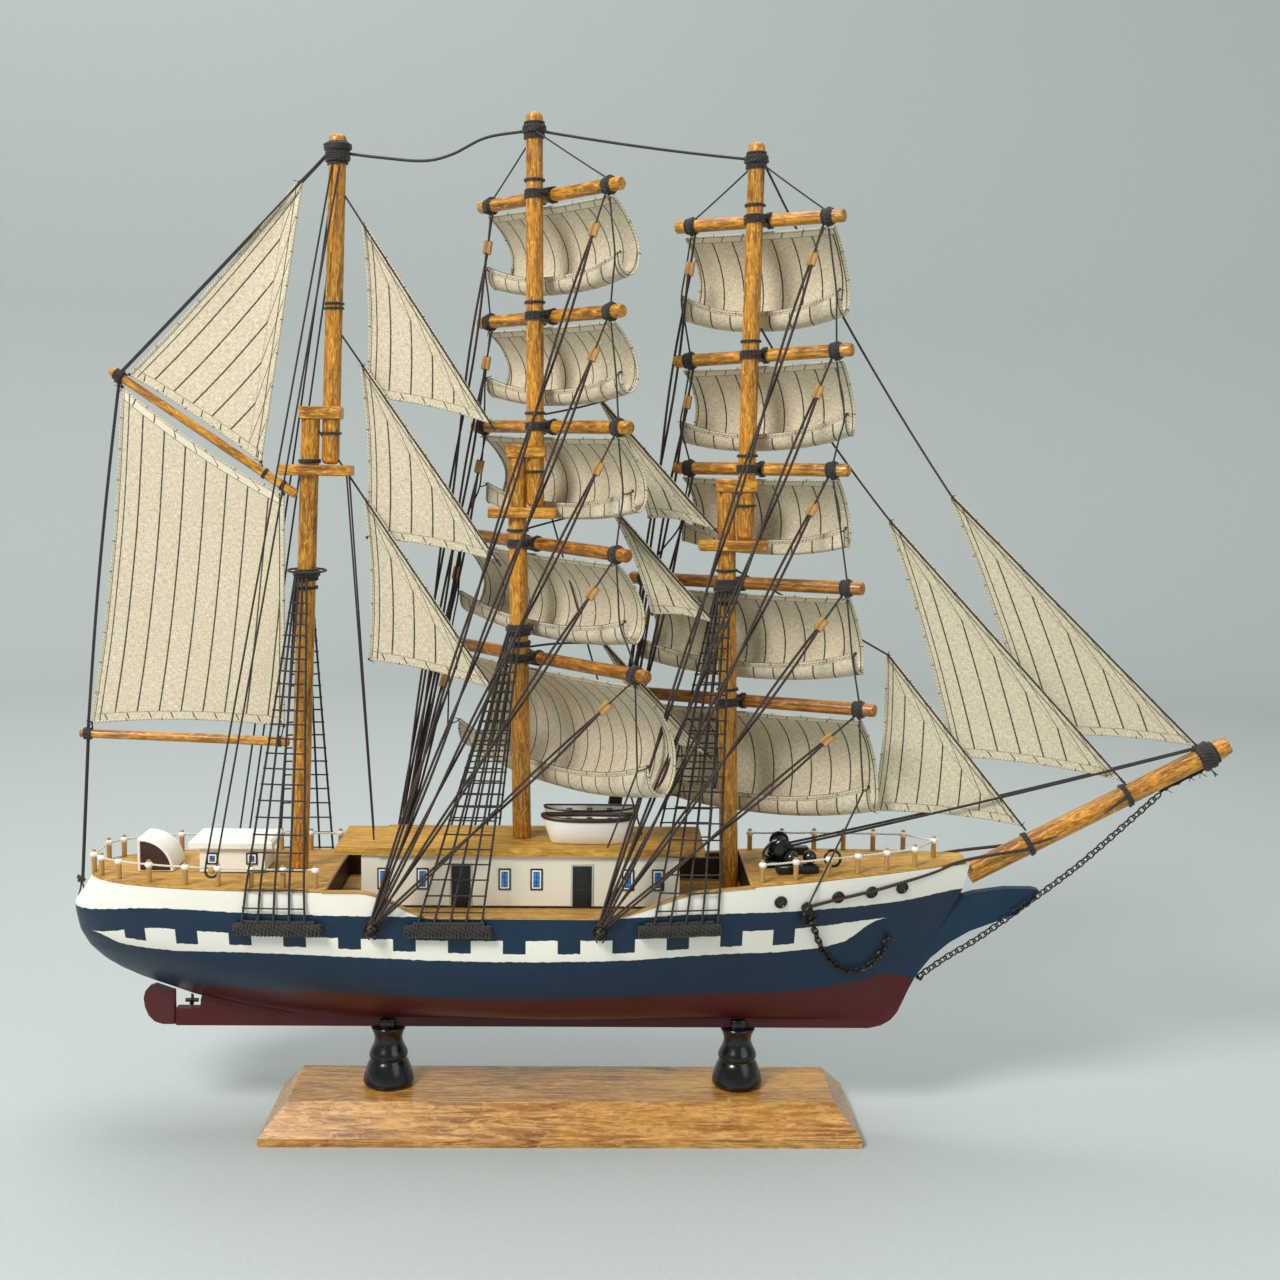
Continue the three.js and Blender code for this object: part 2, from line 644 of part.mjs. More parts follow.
const boom = { aft: vector(-211.1, 0, 173.8), fore: vector(-120.6, 0, 170.8) };
const gaff = { aft: vector(-194.6, 0, 330), fore: vector(-116.4, 0, 278.2) };

function addFoils() {
  add('spanker_boom', 'varnished_wood', bar(boom.aft, boom.fore, 1.9, 2.1, 12));
  add('spanker_gaff', 'varnished_wood', bar(gaff.aft, gaff.fore, 1.8, 2, 12));
  add('spanker_sail', 'linen', flatSail([
    [-189.7, 0, 323], [-122, 0, 278.4], [-123, 0, 178], [-205.8, 0, 178.7],
  ]));
  add('gaff_topsail', 'linen', triangleSail([[-113.7, 0, 409.1], [-186.2, 0, 328.2], [-131.5, 0, 292.2]]));
  Object.entries(staysails).forEach(([name, corners]) => add(name, 'linen', triangleSail(corners)));
}

// ---------- assembly ----------
add('stand_base', 'varnished_wood', standBase());
add('stand_post_aft', 'black_gloss', standPost(-POST_X));
add('stand_post_fore', 'black_gloss', standPost(POST_X));

add('hull', 'hull_paint', hull());
add('keel', 'bottom_paint', keel());
add('quarterdeck', 'deck_wood', upperDeck(STERN_TOP_X + 1.2, QUARTERDECK_BREAK_X, 14));
add('waist_deck', 'deck_wood', waistDeck());
add('forecastle_deck', 'deck_wood', upperDeck(FORECASTLE_BREAK_X, BOW_TOP_X - 1.4, 10));
add('rudder', 'bottom_paint', rudder());
add('propeller', 'dark_metal', propeller());

add('deckhouse', 'white_paint', deckhouse());
add('deckhouse_roof', 'roof_wood', deckhouseRoof());
add('aft_cabin', 'white_paint', aftCabin());
add('steering_gear_box', 'white_paint', wheelBox());
add('lifeboat_starboard', 'white_paint', lifeboat(-9.6));
add('lifeboat_port', 'white_paint', lifeboat(9.6));
add('windlass', 'dark_metal', windlass());
add('quarterdeck_rail', 'rail_cord', quarterdeckRail());
add('forecastle_rail', 'rail_cord', forecastleRail());

add('bowsprit', 'varnished_wood', bowsprit());
add('mizzen_lower_mast', 'varnished_wood', lowerMast(mizzenLower, mizzenTop, 30.6, 3));
add('mizzen_topmast', 'varnished_wood', topmast(mizzenTop));
add('main_lower_mast', 'varnished_wood', lowerMast(mainLower, mainTop, 29.3, 2.2));
add('main_topmast', 'varnished_wood', topmast(mainTop));
add('fore_lower_mast', 'varnished_wood', lowerMast(foreLower, foreTop, 29.3, 2.6));
add('fore_topmast', 'varnished_wood', topmast(foreTop));

addYards('main', mainYards, MAIN_BRACE, mainLower, mainTop);
addYards('fore', foreYards, FORE_BRACE, foreLower, foreTop);
addFoils();

export default group;
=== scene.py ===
import math
import random

import bmesh
import bpy
import numpy as np
from mathutils import Matrix, Vector


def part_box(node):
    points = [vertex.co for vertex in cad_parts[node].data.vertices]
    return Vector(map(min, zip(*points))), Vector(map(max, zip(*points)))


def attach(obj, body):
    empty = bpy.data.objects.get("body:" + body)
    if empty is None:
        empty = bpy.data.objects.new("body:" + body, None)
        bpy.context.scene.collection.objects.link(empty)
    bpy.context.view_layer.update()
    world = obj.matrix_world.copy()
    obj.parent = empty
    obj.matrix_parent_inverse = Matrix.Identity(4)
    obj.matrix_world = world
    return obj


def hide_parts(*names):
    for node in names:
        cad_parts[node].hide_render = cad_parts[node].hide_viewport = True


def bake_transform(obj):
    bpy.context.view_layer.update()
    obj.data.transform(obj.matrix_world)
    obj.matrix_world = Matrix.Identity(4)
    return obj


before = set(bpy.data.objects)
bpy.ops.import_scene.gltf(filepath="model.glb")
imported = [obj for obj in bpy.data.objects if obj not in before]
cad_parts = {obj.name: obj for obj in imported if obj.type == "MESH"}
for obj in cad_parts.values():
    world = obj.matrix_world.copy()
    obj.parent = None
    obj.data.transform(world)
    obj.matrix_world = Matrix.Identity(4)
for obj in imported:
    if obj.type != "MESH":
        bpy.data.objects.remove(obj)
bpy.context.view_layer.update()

# All shapes below are worked out in millimetres, and made in metres.
MM = 0.001
UP = Vector((0, 0, 1))
SIDES = ((-1, "starboard"), (1, "port"))


def V(x, y, z):
    return Vector((x, y, z))


# ---------- driving sizes, in millimetres ----------
HULL_BOTTOM = 47.8
HULL_BEAM = 73.0
STERN_TOP_Z = 113.5
BOW_TOP_Z = 120.5
BOW_END_Z = 120.4
KEEL_THICKNESS = 5.0
BULWARK = 2.2
STERN_TOP_X = -206.0
BOW_TOP_X = 178.4
BOW_TOP_WIDTH = 14.0
WELL_AFT_X = -100.0
WELL_FORE_X = 80.0
WAIST_HEIGHT = 102.4
WELL_FLOOR = WAIST_HEIGHT - 1.2
DECK_LIFT = 1.5
SPAR_SIDES = 32
THREAD = 0.42
CLOTH = 0.45
STRIPE_PITCH = 9.4
# Whole stripes counted before the middle of a square sail, so that its middle falls between two stripes.
STRIPES_BEFORE = 500.5
# Distance given for an edge that a sail does not have.
NO_EDGE = 100.0
DIP_AFT = (-86.0, 32.0)
DIP_FORE = (62.0, 46.0)


# ---------- numbers ----------
def mix(a, b, t):
    return a + (b - a) * t


def clamp(t, low=0.0, high=1.0):
    return min(high, max(low, t))


def smooth(t):
    t = clamp(t)
    return t * t * (3 - 2 * t)


def along(pairs, x):
    """Value at x on a line through (x, value) pairs."""
    if x <= pairs[0][0]:
        return pairs[0][1]
    for (x0, v0), (x1, v1) in zip(pairs, pairs[1:]):
        if x <= x1:
            return mix(v0, v1, (x - x0) / (x1 - x0))
    return pairs[-1][1]


def spline(points, steps):
    """Smooth line through points, with steps pieces between each two."""
    points = [Vector(p) for p in points]
    ends = [2 * points[0] - points[1]] + points + [2 * points[-1] - points[-2]]
    line = []
    for a, b, c, d in zip(ends, ends[1:], ends[2:], ends[3:]):
        for i in range(steps):
            t = i / steps
            line.append(0.5 * (2 * b + (c - a) * t + (2 * a - 5 * b + 4 * c - d) * t * t
                               + (3 * b - a - 3 * c + d) * t ** 3))
    return line + [points[-1]]


def straight(a, b, steps=1, sag=0.0):
    """Line from a to b that hangs by sag in its middle."""
    return [a.lerp(b, i / steps) - UP * (4 * sag * (i / steps) * (1 - i / steps))
            for i in range(steps + 1)]


def circle(count):
    """Angles of count even steps round a full turn."""
    return [2 * math.pi * i / count for i in range(count)]


# ---------- mesh building ----------
class Shape:
    """Closed bodies gathered into one mesh. Each point also keeps its place in its own material."""

    def __init__(self):
        self.points = []
        self.grain = []
        self.faces = []
        self.uses = []

    def add(self, points, faces, grain=None, use=0):
        start = len(self.points)
        self.points += points
        self.grain += grain or points
        self.faces += [[start + i for i in face] for face in faces]
        self.uses += [use] * len(faces)

    def build(self, name, materials, body="ship", slot="dark_metal", sharp=40, replaces=()):
        mesh = bpy.data.meshes.new(name)
        mesh.from_pydata([p * MM for p in self.points], [], self.faces)
        write_vectors(mesh, "grain", self.grain)
        for material in materials:
            mesh.materials.append(material)
        mesh.polygons.foreach_set("material_index", self.uses)
        return finish_piece(name, mesh, body, sharp, replaces)


def write_vectors(mesh, name, values):
    attribute = mesh.attributes.new(name, "FLOAT_VECTOR", "POINT")
    attribute.data.foreach_set("vector", [c for v in values for c in v])


def finish_piece(name, mesh, body, sharp, replaces):
    """Turns faces outward, shades them, and gives the piece to its body; for a blend of two bodies it only
    bakes the piece's place into its mesh.
    """
    work = bmesh.new()
    work.from_mesh(mesh)
    bmesh.ops.recalc_face_normals(work, faces=work.faces)
    work.to_mesh(mesh)
    work.free()
    mesh.polygons.foreach_set("use_smooth", [True] * len(mesh.polygons))
    mesh.set_sharp_from_angle(angle=math.radians(sharp))
    piece = bpy.data.objects.new(name, mesh)
    bpy.context.scene.collection.objects.link(piece)
    if isinstance(body, str):
        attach(piece, body)
    elif body:
        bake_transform(piece)
    if replaces:
        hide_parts(*replaces)
    return piece


def rings_faces(rings, sides, closed):
    faces = []
    for r in range(rings if closed else rings - 1):
        a, b = r * sides, ((r + 1) % rings) * sides
        for k in range(sides):
            n = (k + 1) % sides
            faces.append((a + k, a + n, b + n, b + k))
    if not closed:
        faces.append(tuple(range(sides))[::-1])
        faces.append(tuple((rings - 1) * sides + k for k in range(sides)))
    return faces


def tube(shape, path, radius, sides=6, use=0, closed=False, squash=1.0):
    """Round bar along a path. radius is one number, or one for each point."""
    count = len(path)
    radii = radius if isinstance(radius, (list, tuple)) else [radius] * count
    points, grain = [], []
    normal = None
    run = 0.0
    for i, p in enumerate(path):
        before = path[i - 1] if i or closed else p
        after = path[(i + 1) % count] if i + 1 < count or closed else p
        tangent = (after - before).normalized()
        if normal is None:
            normal = tangent.orthogonal().normalized()
        normal = (normal - tangent * normal.dot(tangent)).normalized()
        side = tangent.cross(normal)
        if i:
            run += (p - path[i - 1]).length
        for angle in circle(sides):
            c, s = math.cos(angle) * radii[i], math.sin(angle) * radii[i] * squash
            points.append(p + normal * c + side * s)
            grain.append(V(run, c, s))
    shape.add(points, rings_faces(count, sides, closed), grain, use)


def turned(shape, profile, foot, axis=UP, sides=24, use=0):
    """Body of (radius, height) rings about an axis, closed at both ends."""
    axis = axis.normalized()
    u = axis.orthogonal().normalized()
    w = axis.cross(u)
    points, grain = [], []
    for radius, height in profile:
        for angle in circle(sides):
            c, s = math.cos(angle) * radius, math.sin(angle) * radius
            points.append(foot + axis * height + u * c + w * s)
            grain.append(V(height, c, s))
    shape.add(points, rings_faces(len(profile), sides, False), grain, use)


def ball(shape, centre, radius, use=0, sides=12, flat=1.0):
    profile = [(radius * math.sin(a), -radius * flat * math.cos(a))
               for a in (math.pi * (i + 0.5) / (sides // 2 + 2) for i in range(sides // 2 + 2))]
    turned(shape, profile, centre, UP, sides, use)


def spar(shape, start, end, start_radius, end_radius, use=0, dome=1.0):
    """Round pole with softly rounded ends."""
    axis = (end - start).normalized()
    length = (end - start).length
    profile = []
    for i in range(5):
        angle = math.pi / 2 * i / 4
        profile.append((start_radius - dome + dome * math.sin(angle), dome * (1 - math.cos(angle))))
    steps = max(4, int(length / 12))
    for i in range(1, steps):
        profile.append((mix(start_radius, end_radius, i / steps), length * i / steps))
    for i in range(5):
        angle = math.pi / 2 * i / 4
        profile.append((end_radius - dome + dome * math.cos(angle), length - dome * (1 - math.sin(angle))))
    turned(shape, profile, start, axis, SPAR_SIDES, use)


def box(shape, low, high, bevel=0.35, use=0, turn=None, grain_axis=0):
    """Block with bevelled edges between two corners. turn places it somewhere else."""
    middle = (low + high) / 2
    half = (high - low) / 2
    bevel = min(bevel, min(half) * 0.8)
    points, grain, index = [], [], {}
    signs = [(a, b, c) for a in (-1, 1) for b in (-1, 1) for c in (-1, 1)]
    for corner in signs:
        for axis in range(3):
            p = Vector([corner[i] * (half[i] - (0 if i == axis else bevel)) for i in range(3)])
            index[corner, axis] = len(points)
            q = middle + p
            grain.append(Vector([q[(grain_axis + i) % 3] for i in range(3)]))
            points.append(turn @ q if turn else q)
    faces = []
    for axis in range(3):
        b, c = (axis + 1) % 3, (axis + 2) % 3
        for sign in (-1, 1):
            loop = []
            for sb, sc in ((-1, -1), (1, -1), (1, 1), (-1, 1)):
                corner = [0, 0, 0]
                corner[axis], corner[b], corner[c] = sign, sb, sc
                loop.append(index[tuple(corner), axis])
            faces.append(loop)
        for sb in (-1, 1):
            for sc in (-1, 1):
                low_end, high_end = [0, 0, 0], [0, 0, 0]
                for end, sign in ((low_end, -1), (high_end, 1)):
                    end[axis], end[b], end[c] = sign, sb, sc
                low_end, high_end = tuple(low_end), tuple(high_end)
                faces.append([index[low_end, b], index[low_end, c], index[high_end, c], index[high_end, b]])
    faces += [[index[corner, axis] for axis in range(3)] for corner in signs]
    shape.add(points, faces, grain, use)


def plate(shape, outline, thickness, use=0):
    """Flat board standing in the X-Z plane, centred on the middle line, from its outline."""
    count = len(outline)
    points = [V(x, side * thickness / 2, z) for side in (-1, 1) for x, z in outline]
    faces = [tuple(range(count)), tuple(range(2 * count - 1, count - 1, -1))]
    faces += [(i, (i + 1) % count, count + (i + 1) % count, count + i) for i in range(count)]
    shape.add(points, faces, None, use)


def coil(shape, centre, axis, radius, width, thread=THREAD, use=0):
    """Turns of thread laid side by side round a spar."""
    axis = axis.normalized()
    u = axis.orthogonal().normalized()
    w = axis.cross(u)
    turns = max(1, round(width / (2 * thread)))
    steps = turns * 14
    path = []
    for i in range(steps + 1):
        angle = 2 * math.pi * i / 14
        rise = (i / steps - 0.5) * (width - 2 * thread)
        wobble = 1 + 0.035 * math.sin(i * 1.7)
        r = (radius + thread * 0.7) * wobble
        path.append(centre + axis * rise + u * (r * math.cos(angle)) + w * (r * math.sin(angle)))
    tube(shape, path, thread, 6, use)


def knot(shape, centre, size, seed, use=0):
    """Small tight knot with two short cut ends."""
    draw = random.Random(seed)
    for _ in range(3):
        axis = V(draw.uniform(-1, 1), draw.uniform(-1, 1), draw.uniform(-1, 1))
        coil(shape, centre, axis, size * 0.45, size * 0.55, size * 0.27, use)
    for _ in range(2):
        way = V(draw.uniform(-1, 1), draw.uniform(-1, -0.2), draw.uniform(-1, 0.6)).normalized()
        bend = V(draw.uniform(-1, 1), 0, draw.uniform(-1, 1)) * size * 0.6
        path = spline([centre, centre + way * size * 1.6, centre + way * size * 3 + bend], 3)
        tube(shape, path, size * 0.16, 5, use)


# ---------- what the frame says ----------
def node_points(name):
    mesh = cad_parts[name].data
    co = np.zeros(len(mesh.vertices) * 3)
    mesh.vertices.foreach_get("co", co)
    return co.reshape(-1, 3) / MM


def bar_ends(name, tolerance=0.05):
    """Ends of a round CAD bar, the lower one first, and then the radius at each."""
    co = node_points(name)
    centred = co - co.mean(0)
    axis = np.linalg.eigh(centred.T @ centred)[1][:, -1]
    run = centred @ axis
    ends = []
    for at in (run.min(), run.max()):
        ring = co[abs(run - at) < tolerance]
        centre = (ring.max(0) + ring.min(0)) / 2
        rim = max(np.linalg.norm(ring - centre, axis=1))
        ends.append((Vector(centre), float(rim)))
    ends.sort(key=lambda end: end[0].z)
    return ends[0][0], ends[1][0], ends[0][1], ends[1][1]


def corners_of(name, count):
    """The corners of a flat CAD sail, one for each cluster of its points."""
    found = []
    for p in node_points(name):
        p = Vector(p)
        near = [f for f in found if (f[0] / f[1] - p).length < 3]
        if near:
            near[0][0] += p
            near[0][1] += 1
        else:
            found.append([p.copy(), 1])
    corners = [total / n for total, n in found]
    return corners[:count]


def box_mm(name):
    low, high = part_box(name)
    return low / MM, high / MM


# ---------- hull form ----------
STERN_PROFILE = [
    (47.8, -122), (50, -127), (52.2, -143.7), (56.2, -160.4), (60.8, -173.5), (65.1, -186), (69.7, -195.7),
    (74.3, -202.7), (80.8, -208.8), (88.2, -212.2), (97, -213.4), (102, -213.6), (107, -209.5),
    (STERN_TOP_Z, STERN_TOP_X),
]
BOW_PROFILE = [
    (47.8, 138), (54.8, 148.5), (67.4, 154), (78, 160), (90, 167), (100, 172), (108.5, 175.8),
    (BOW_TOP_Z, BOW_TOP_X),
]
SHEER_LINE = [(-213, 113.6), (-100, 113), (60, 113.8), (85, 115.6), (178, 120.4)]


def sheer(x):
    dip = min(smooth((x - DIP_AFT[0]) / DIP_AFT[1]), smooth((DIP_FORE[0] - x) / DIP_FORE[1]))
    return mix(along(SHEER_LINE, x), WAIST_HEIGHT, dip)


def profile_ends(v):
    aft = along(STERN_PROFILE, HULL_BOTTOM + v * (STERN_TOP_Z - HULL_BOTTOM))
    fore = along(BOW_PROFILE, HULL_BOTTOM + v * (BOW_END_Z - HULL_BOTTOM))
    return aft, fore


def half_width(u, v):
    full = HULL_BEAM / 2 * math.sqrt(1 - (1 - v) ** 2.6)
    run = 1 - clamp(u / mix(0.5, 0.3, v))
    entry = clamp((u - mix(0.42, 0.57, v)) / mix(0.58, 0.43, v))
    aft_shape = (1 - run ** mix(1.25, 3, v)) ** (1 / mix(0.95, 2.6, smooth(v * 1.15)))
    fore_shape = 1 - entry ** mix(1.35, 2.3, v)
    bow_end = mix(KEEL_THICKNESS / 2, BOW_TOP_WIDTH / 2, smooth((v - 0.55) / 0.45))
    keel_edge = KEEL_THICKNESS / 2 * clamp(u / 0.03)
    half = max(keel_edge, min(full * aft_shape, bow_end + (full - bow_end) * fore_shape))
    return half if u > 0 else 0.0


def hull_point(u, v, side):
    aft, fore = profile_ends(v)
    x = mix(aft, fore, u)
    return V(x, side * half_width(u, v), HULL_BOTTOM + v * (sheer(x) - HULL_BOTTOM))


def top_half(x):
    """Half width of the hull's top edge at x."""
    return half_width(clamp((x - STERN_TOP_X) / (BOW_TOP_X - STERN_TOP_X)), 1)


def side_half(x, z):
    """Half width of the hull at x and height z."""
    v = clamp((z - HULL_BOTTOM) / (sheer(x) - HULL_BOTTOM))
    aft, fore = profile_ends(v)
    return half_width(clamp((x - aft) / (fore - aft)), v)


def on_side(x, z, side, out=0.0):
    return V(x, side * (side_half(x, z) + out), z)


def side_normal(x, z, side):
    slope_x = (side_half(x + 1, z) - side_half(x - 1, z)) / 2
    slope_z = (side_half(x, z + 1) - side_half(x, z - 1)) / 2
    return V(-slope_x, side, -slope_z).normalized()


# ---------- materials ----------
def linear(code):
    """Shader colour from a #rrggbb paint code."""
    parts = [int(code[i:i + 2], 16) / 255 for i in (1, 3, 5)]
    return tuple(c / 12.92 if c <= 0.04045 else ((c + 0.055) / 1.055) ** 2.4 for c in parts) + (1.0,)


class Look:
    """One procedural material. Every coordinate it uses is in millimetres."""

    def __init__(self, name, roughness=0.5, **settings):
        self.material = bpy.data.materials.new(name)
        self.material.use_nodes = True
        self.tree = self.material.node_tree
        self.shader = self.tree.nodes["Principled BSDF"]
        self.shader.inputs["Roughness"].default_value = roughness
        for socket, value in settings.items():
            self.shader.inputs[socket.replace("_", " ")].default_value = value

    def put(self, value, socket):
        if isinstance(value, bpy.types.NodeSocket):
            self.tree.links.new(value, socket)
        elif value is not None:
            socket.default_value = value

    def node(self, kind, inputs=(), **settings):
        node = self.tree.nodes.new("ShaderNode" + kind)
        for key, value in settings.items():
            setattr(node, key, value)
        for key, value in dict(inputs).items():
            self.put(value, node.inputs[key])
        return node

    def math(self, operation, *values):
        node = self.node("Math", operation=operation)
        for value, socket in zip(values, node.inputs):
            self.put(value, socket)
        return node.outputs[0]

    def times(self, a, b):
        return self.math("MULTIPLY", a, b)

    def plus(self, a, b):
        return self.math("ADD", a, b)

    def minus(self, a, b):
        return self.math("SUBTRACT", a, b)

    def larger(self, a, b):
        return self.math("MAXIMUM", a, b)

    def blend(self, factor, a, b):
        """Colour a where factor is 0 and b where it is 1."""
        node = self.node("Mix", data_type="RGBA")
        self.put(factor, node.inputs[0])
        self.put(a, node.inputs[6])
        self.put(b, node.inputs[7])
        return node.outputs[2]

    def read(self, name):
        """X, Y and Z of a named point value, and the vector itself."""
        vector = self.node("Attribute", attribute_name=name).outputs["Vector"]
        return (*self.split(vector), vector)

    def split(self, vector):
        return tuple(self.node("SeparateXYZ", {0: vector}).outputs)

    def place(self):
        """Place in the row frame, for a CAD node and for a piece that rides."""
        vector = self.node("TexCoord").outputs["Object"]
        return self.stretch(vector, 1 / MM, 1 / MM, 1 / MM)

    def stretch(self, vector, x, y, z):
        return self.node("VectorMath", {0: vector, 1: (x, y, z)}, operation="MULTIPLY").outputs[0]

    def noise(self, vector, scale, detail=3.0, roughness=0.55, distortion=0.0):
        return self.node("TexNoise", {"Vector": vector, "Scale": scale, "Detail": detail,
                                      "Roughness": roughness, "Distortion": distortion}).outputs[0]

    def span(self, value, low, high, to_low=0.0, to_high=1.0):
        return self.node("MapRange", {0: value, 1: low, 2: high, 3: to_low, 4: to_high}).outputs[0]

    def line(self, value, at, width):
        """1 on a soft line where value is at, and 0 off it."""
        away = self.math("ABSOLUTE", self.math("SUBTRACT", value, at))
        return self.span(away, width, width * 0.45)

    def repeat(self, value, pitch, width):
        """1 on soft lines where value is a whole number of pitches."""
        away = self.math("PINGPONG", value, pitch / 2)
        return self.span(away, width, width * 0.45)

    def colour(self, value):
        self.put(value, self.shader.inputs["Base Color"])

    def rough(self, value):
        self.put(value, self.shader.inputs["Roughness"])

    def bump(self, height, distance, strength=1.0):
        """Relief of height (0 to 1) times distance in millimetres."""
        node = self.node("Bump", {"Height": height, "Distance": distance * MM, "Strength": strength})
        self.put(node.outputs[0], self.shader.inputs["Normal"])


def wood(name, light, mid, dark, from_place=False, scale=1.0, gloss=0.32, figure=0.5, planks=0.0, coat=0.12,
         flecks_and_glints=1.0):
    """Varnished wood with its grain along X of its own coordinates, dark flecks, worn patches, and pale
    glints painted in as highlights on the varnish.
    """
    look = Look(name, gloss, Coat_Weight=coat, Coat_Roughness=0.2)
    where = look.place() if from_place else look.read("grain")[3]
    streaks = look.noise(look.stretch(where, 0.035 * scale, 0.55 * scale, 0.55 * scale), 1.0, 6.0, 0.62, 0.6)
    rings = look.noise(look.stretch(where, 0.012 * scale, 0.16 * scale, 0.16 * scale), 1.0, 2.0, 0.5, 1.2)
    bands = look.math("PINGPONG", look.times(rings, 14.0), 1.0)
    pores = look.noise(look.stretch(where, 0.26 * scale, 0.95 * scale, 0.95 * scale), 1.0, 3.0, 0.6, 0.9)
    flecks = look.span(pores, 0.50, 0.64)
    patches = look.noise(where, 0.03, 2.0)
    tone = look.plus(look.times(streaks, 0.62), look.times(bands, 0.38 * figure))
    base = look.blend(look.span(tone, 0.3, 0.75), linear(dark), linear(light))
    base = look.blend(look.span(patches, 0.38, 0.66, 0.0, 0.55), base, linear(mid))
    base = look.blend(look.times(flecks, 0.5 * flecks_and_glints), base, linear(dark))
    # Painted highlights: pale glints where the pore noise is low, lightening the wood as if light caught its
    # varnish.
    glints = look.span(pores, 0.44, 0.34)
    base = look.blend(look.times(glints, 0.45 * flecks_and_glints), base, linear(light))
    if planks:
        seams = look.repeat(look.split(where)[1], planks, 0.22)
        base = look.blend(look.times(seams, 0.45), base, linear(dark))
    look.colour(base)
    look.rough(look.span(streaks, 0.3, 0.8, gloss - 0.06, gloss + 0.16))
    relief = look.minus(look.times(streaks, 0.5), look.times(flecks, 0.5))
    look.bump(relief, 0.12, 0.6)
    return look.material


def painted(look, base, where, wear_colour, gloss):
    """Brushed paint over base: slow unevenness, brush lines, specks and rubbed places."""
    slow = look.noise(where, 0.06, 3.0)
    brush = look.noise(look.stretch(where, 0.08, 0.9, 0.9), 1.0, 4.0, 0.6)
    specks = look.span(look.noise(where, 0.9, 2.0, 0.5), 0.70, 0.76)
    base = look.blend(look.span(slow, 0.35, 0.7, 0.0, 0.05), base, wear_colour)
    base = look.blend(look.times(specks, 0.25), base, wear_colour)
    look.colour(base)
    look.rough(look.span(brush, 0.3, 0.75, gloss - 0.08, gloss + 0.14))
    return look.plus(look.times(brush, 0.7), look.times(slow, 0.6))


def paint(name, colour, wear, gloss=0.42, from_place=False):
    look = Look(name, gloss)
    where = look.place() if from_place else look.read("grain")[3]
    look.bump(painted(look, linear(colour), where, linear(wear), gloss), 0.18, 0.5)
    return look.material


# Paint lines on the hull, as (x, height): white topsides, striped band and waterline.
TOPSIDES = [(-213.8, 100.3), (-169, 104.8), (-134, 104.2), (-78, 103.3), (-60, 103.4), (30, 103.4),
            (50, 104.2), (99, 104), (147, 105.5), (175.5, 108.8)]
BAND_TOP = [(-203, 90.5), (-175, 95.4), (-152, 95.3), (-111, 94), (-66, 93.2), (-5, 93.1), (37, 93.9),
            (75, 95.4), (101.5, 95.5), (141, 97.6)]
BAND_FOOT = [(-203, 90.5), (-186.5, 86), (-126, 86), (-77, 84.7), (-26, 83.6), (24, 83.9), (70, 84.7),
             (98.6, 84.3), (119.5, 86.4), (141, 97.6)]
WATERLINE = [(-170.5, 62.2), (-151, 64), (-121, 65.3), (-88, 65.7), (-26.6, 65), (24.5, 64.6), (62, 64.6),
             (90.5, 63.6), (110, 64.2), (130.6, 67.1), (144.5, 69.7), (154, 67), (162, 66)]
PORTS_FIRST_X = -182.0
PORTS_PITCH = 23.08
PORTS_WIDTH = 9.6
PORTS_COUNT = 13


def height_line(look, x, pairs):
    """Height at x on a line through (x, height) pairs, as a curve node."""
    x_low, x_high = -220.0, 220.0
    z_low, z_high = 40.0, 130.0
    node = look.node("FloatCurve", {"Value": look.span(x, x_low, x_high)})
    curve = node.mapping.curves[0]
    ends = [(x_low, pairs[0][1])] + list(pairs) + [(x_high, pairs[-1][1])]
    spots = [((px - x_low) / (x_high - x_low), (pz - z_low) / (z_high - z_low)) for px, pz in ends]
    while len(curve.points) < len(spots):
        curve.points.new(0.5, 0.5)
    for point, spot in zip(curve.points, spots):
        point.location = spot
    for point in curve.points:
        point.handle_type = "AUTO"
    node.mapping.update()
    return look.span(node.outputs[0], 0.0, 1.0, z_low, z_high)


def hull_paint(name, white_high):
    """Red below the waterline, navy above it, and on the shell the white band, its ports and the topsides."""
    look = Look(name, 0.42, Specular_IOR_Level=0.35)
    where = look.place()
    x, _, z = look.split(where)
    shake = look.span(look.noise(where, 0.35, 2.0), 0.3, 0.7, -0.22, 0.22)
    z = look.plus(z, shake)

    def above(pairs, lift=0.0):
        edge = look.minus(z, height_line(look, x, pairs))
        return look.span(edge, lift - 0.09, lift + 0.09)

    navy = linear("#092a42")
    base = look.blend(above(WATERLINE), linear("#4c0f0f"), navy)
    if white_high:
        ports = look.math("WRAP", look.minus(x, PORTS_FIRST_X), PORTS_PITCH / 2, -PORTS_PITCH / 2)
        port = look.span(look.math("ABSOLUTE", ports), PORTS_WIDTH / 2 + 0.1, PORTS_WIDTH / 2 - 0.1)
        last = PORTS_FIRST_X + PORTS_PITCH * (PORTS_COUNT - 0.5)
        port = look.times(port, look.math("LESS_THAN", x, last))
        port = look.times(port, above(BAND_FOOT, 3.6))
        band = look.times(above(BAND_FOOT), look.minus(1.0, above(BAND_TOP)))
        band = look.times(band, look.minus(1.0, port))
        inside = look.times(look.math("GREATER_THAN", x, -203.0), look.math("LESS_THAN", x, 141.0))
        band = look.times(band, inside)
        white = look.larger(band, above(TOPSIDES))
        base = look.blend(white, base, linear("#f5f1e5"))
        relief_edge = white
    else:
        relief_edge = above(WATERLINE)
    relief = painted(look, base, where, linear("#5d6265"), 0.42)
    look.bump(look.plus(relief, look.times(relief_edge, 1.1)), 0.16, 0.6)
    return look.material


MITRE = 6.0


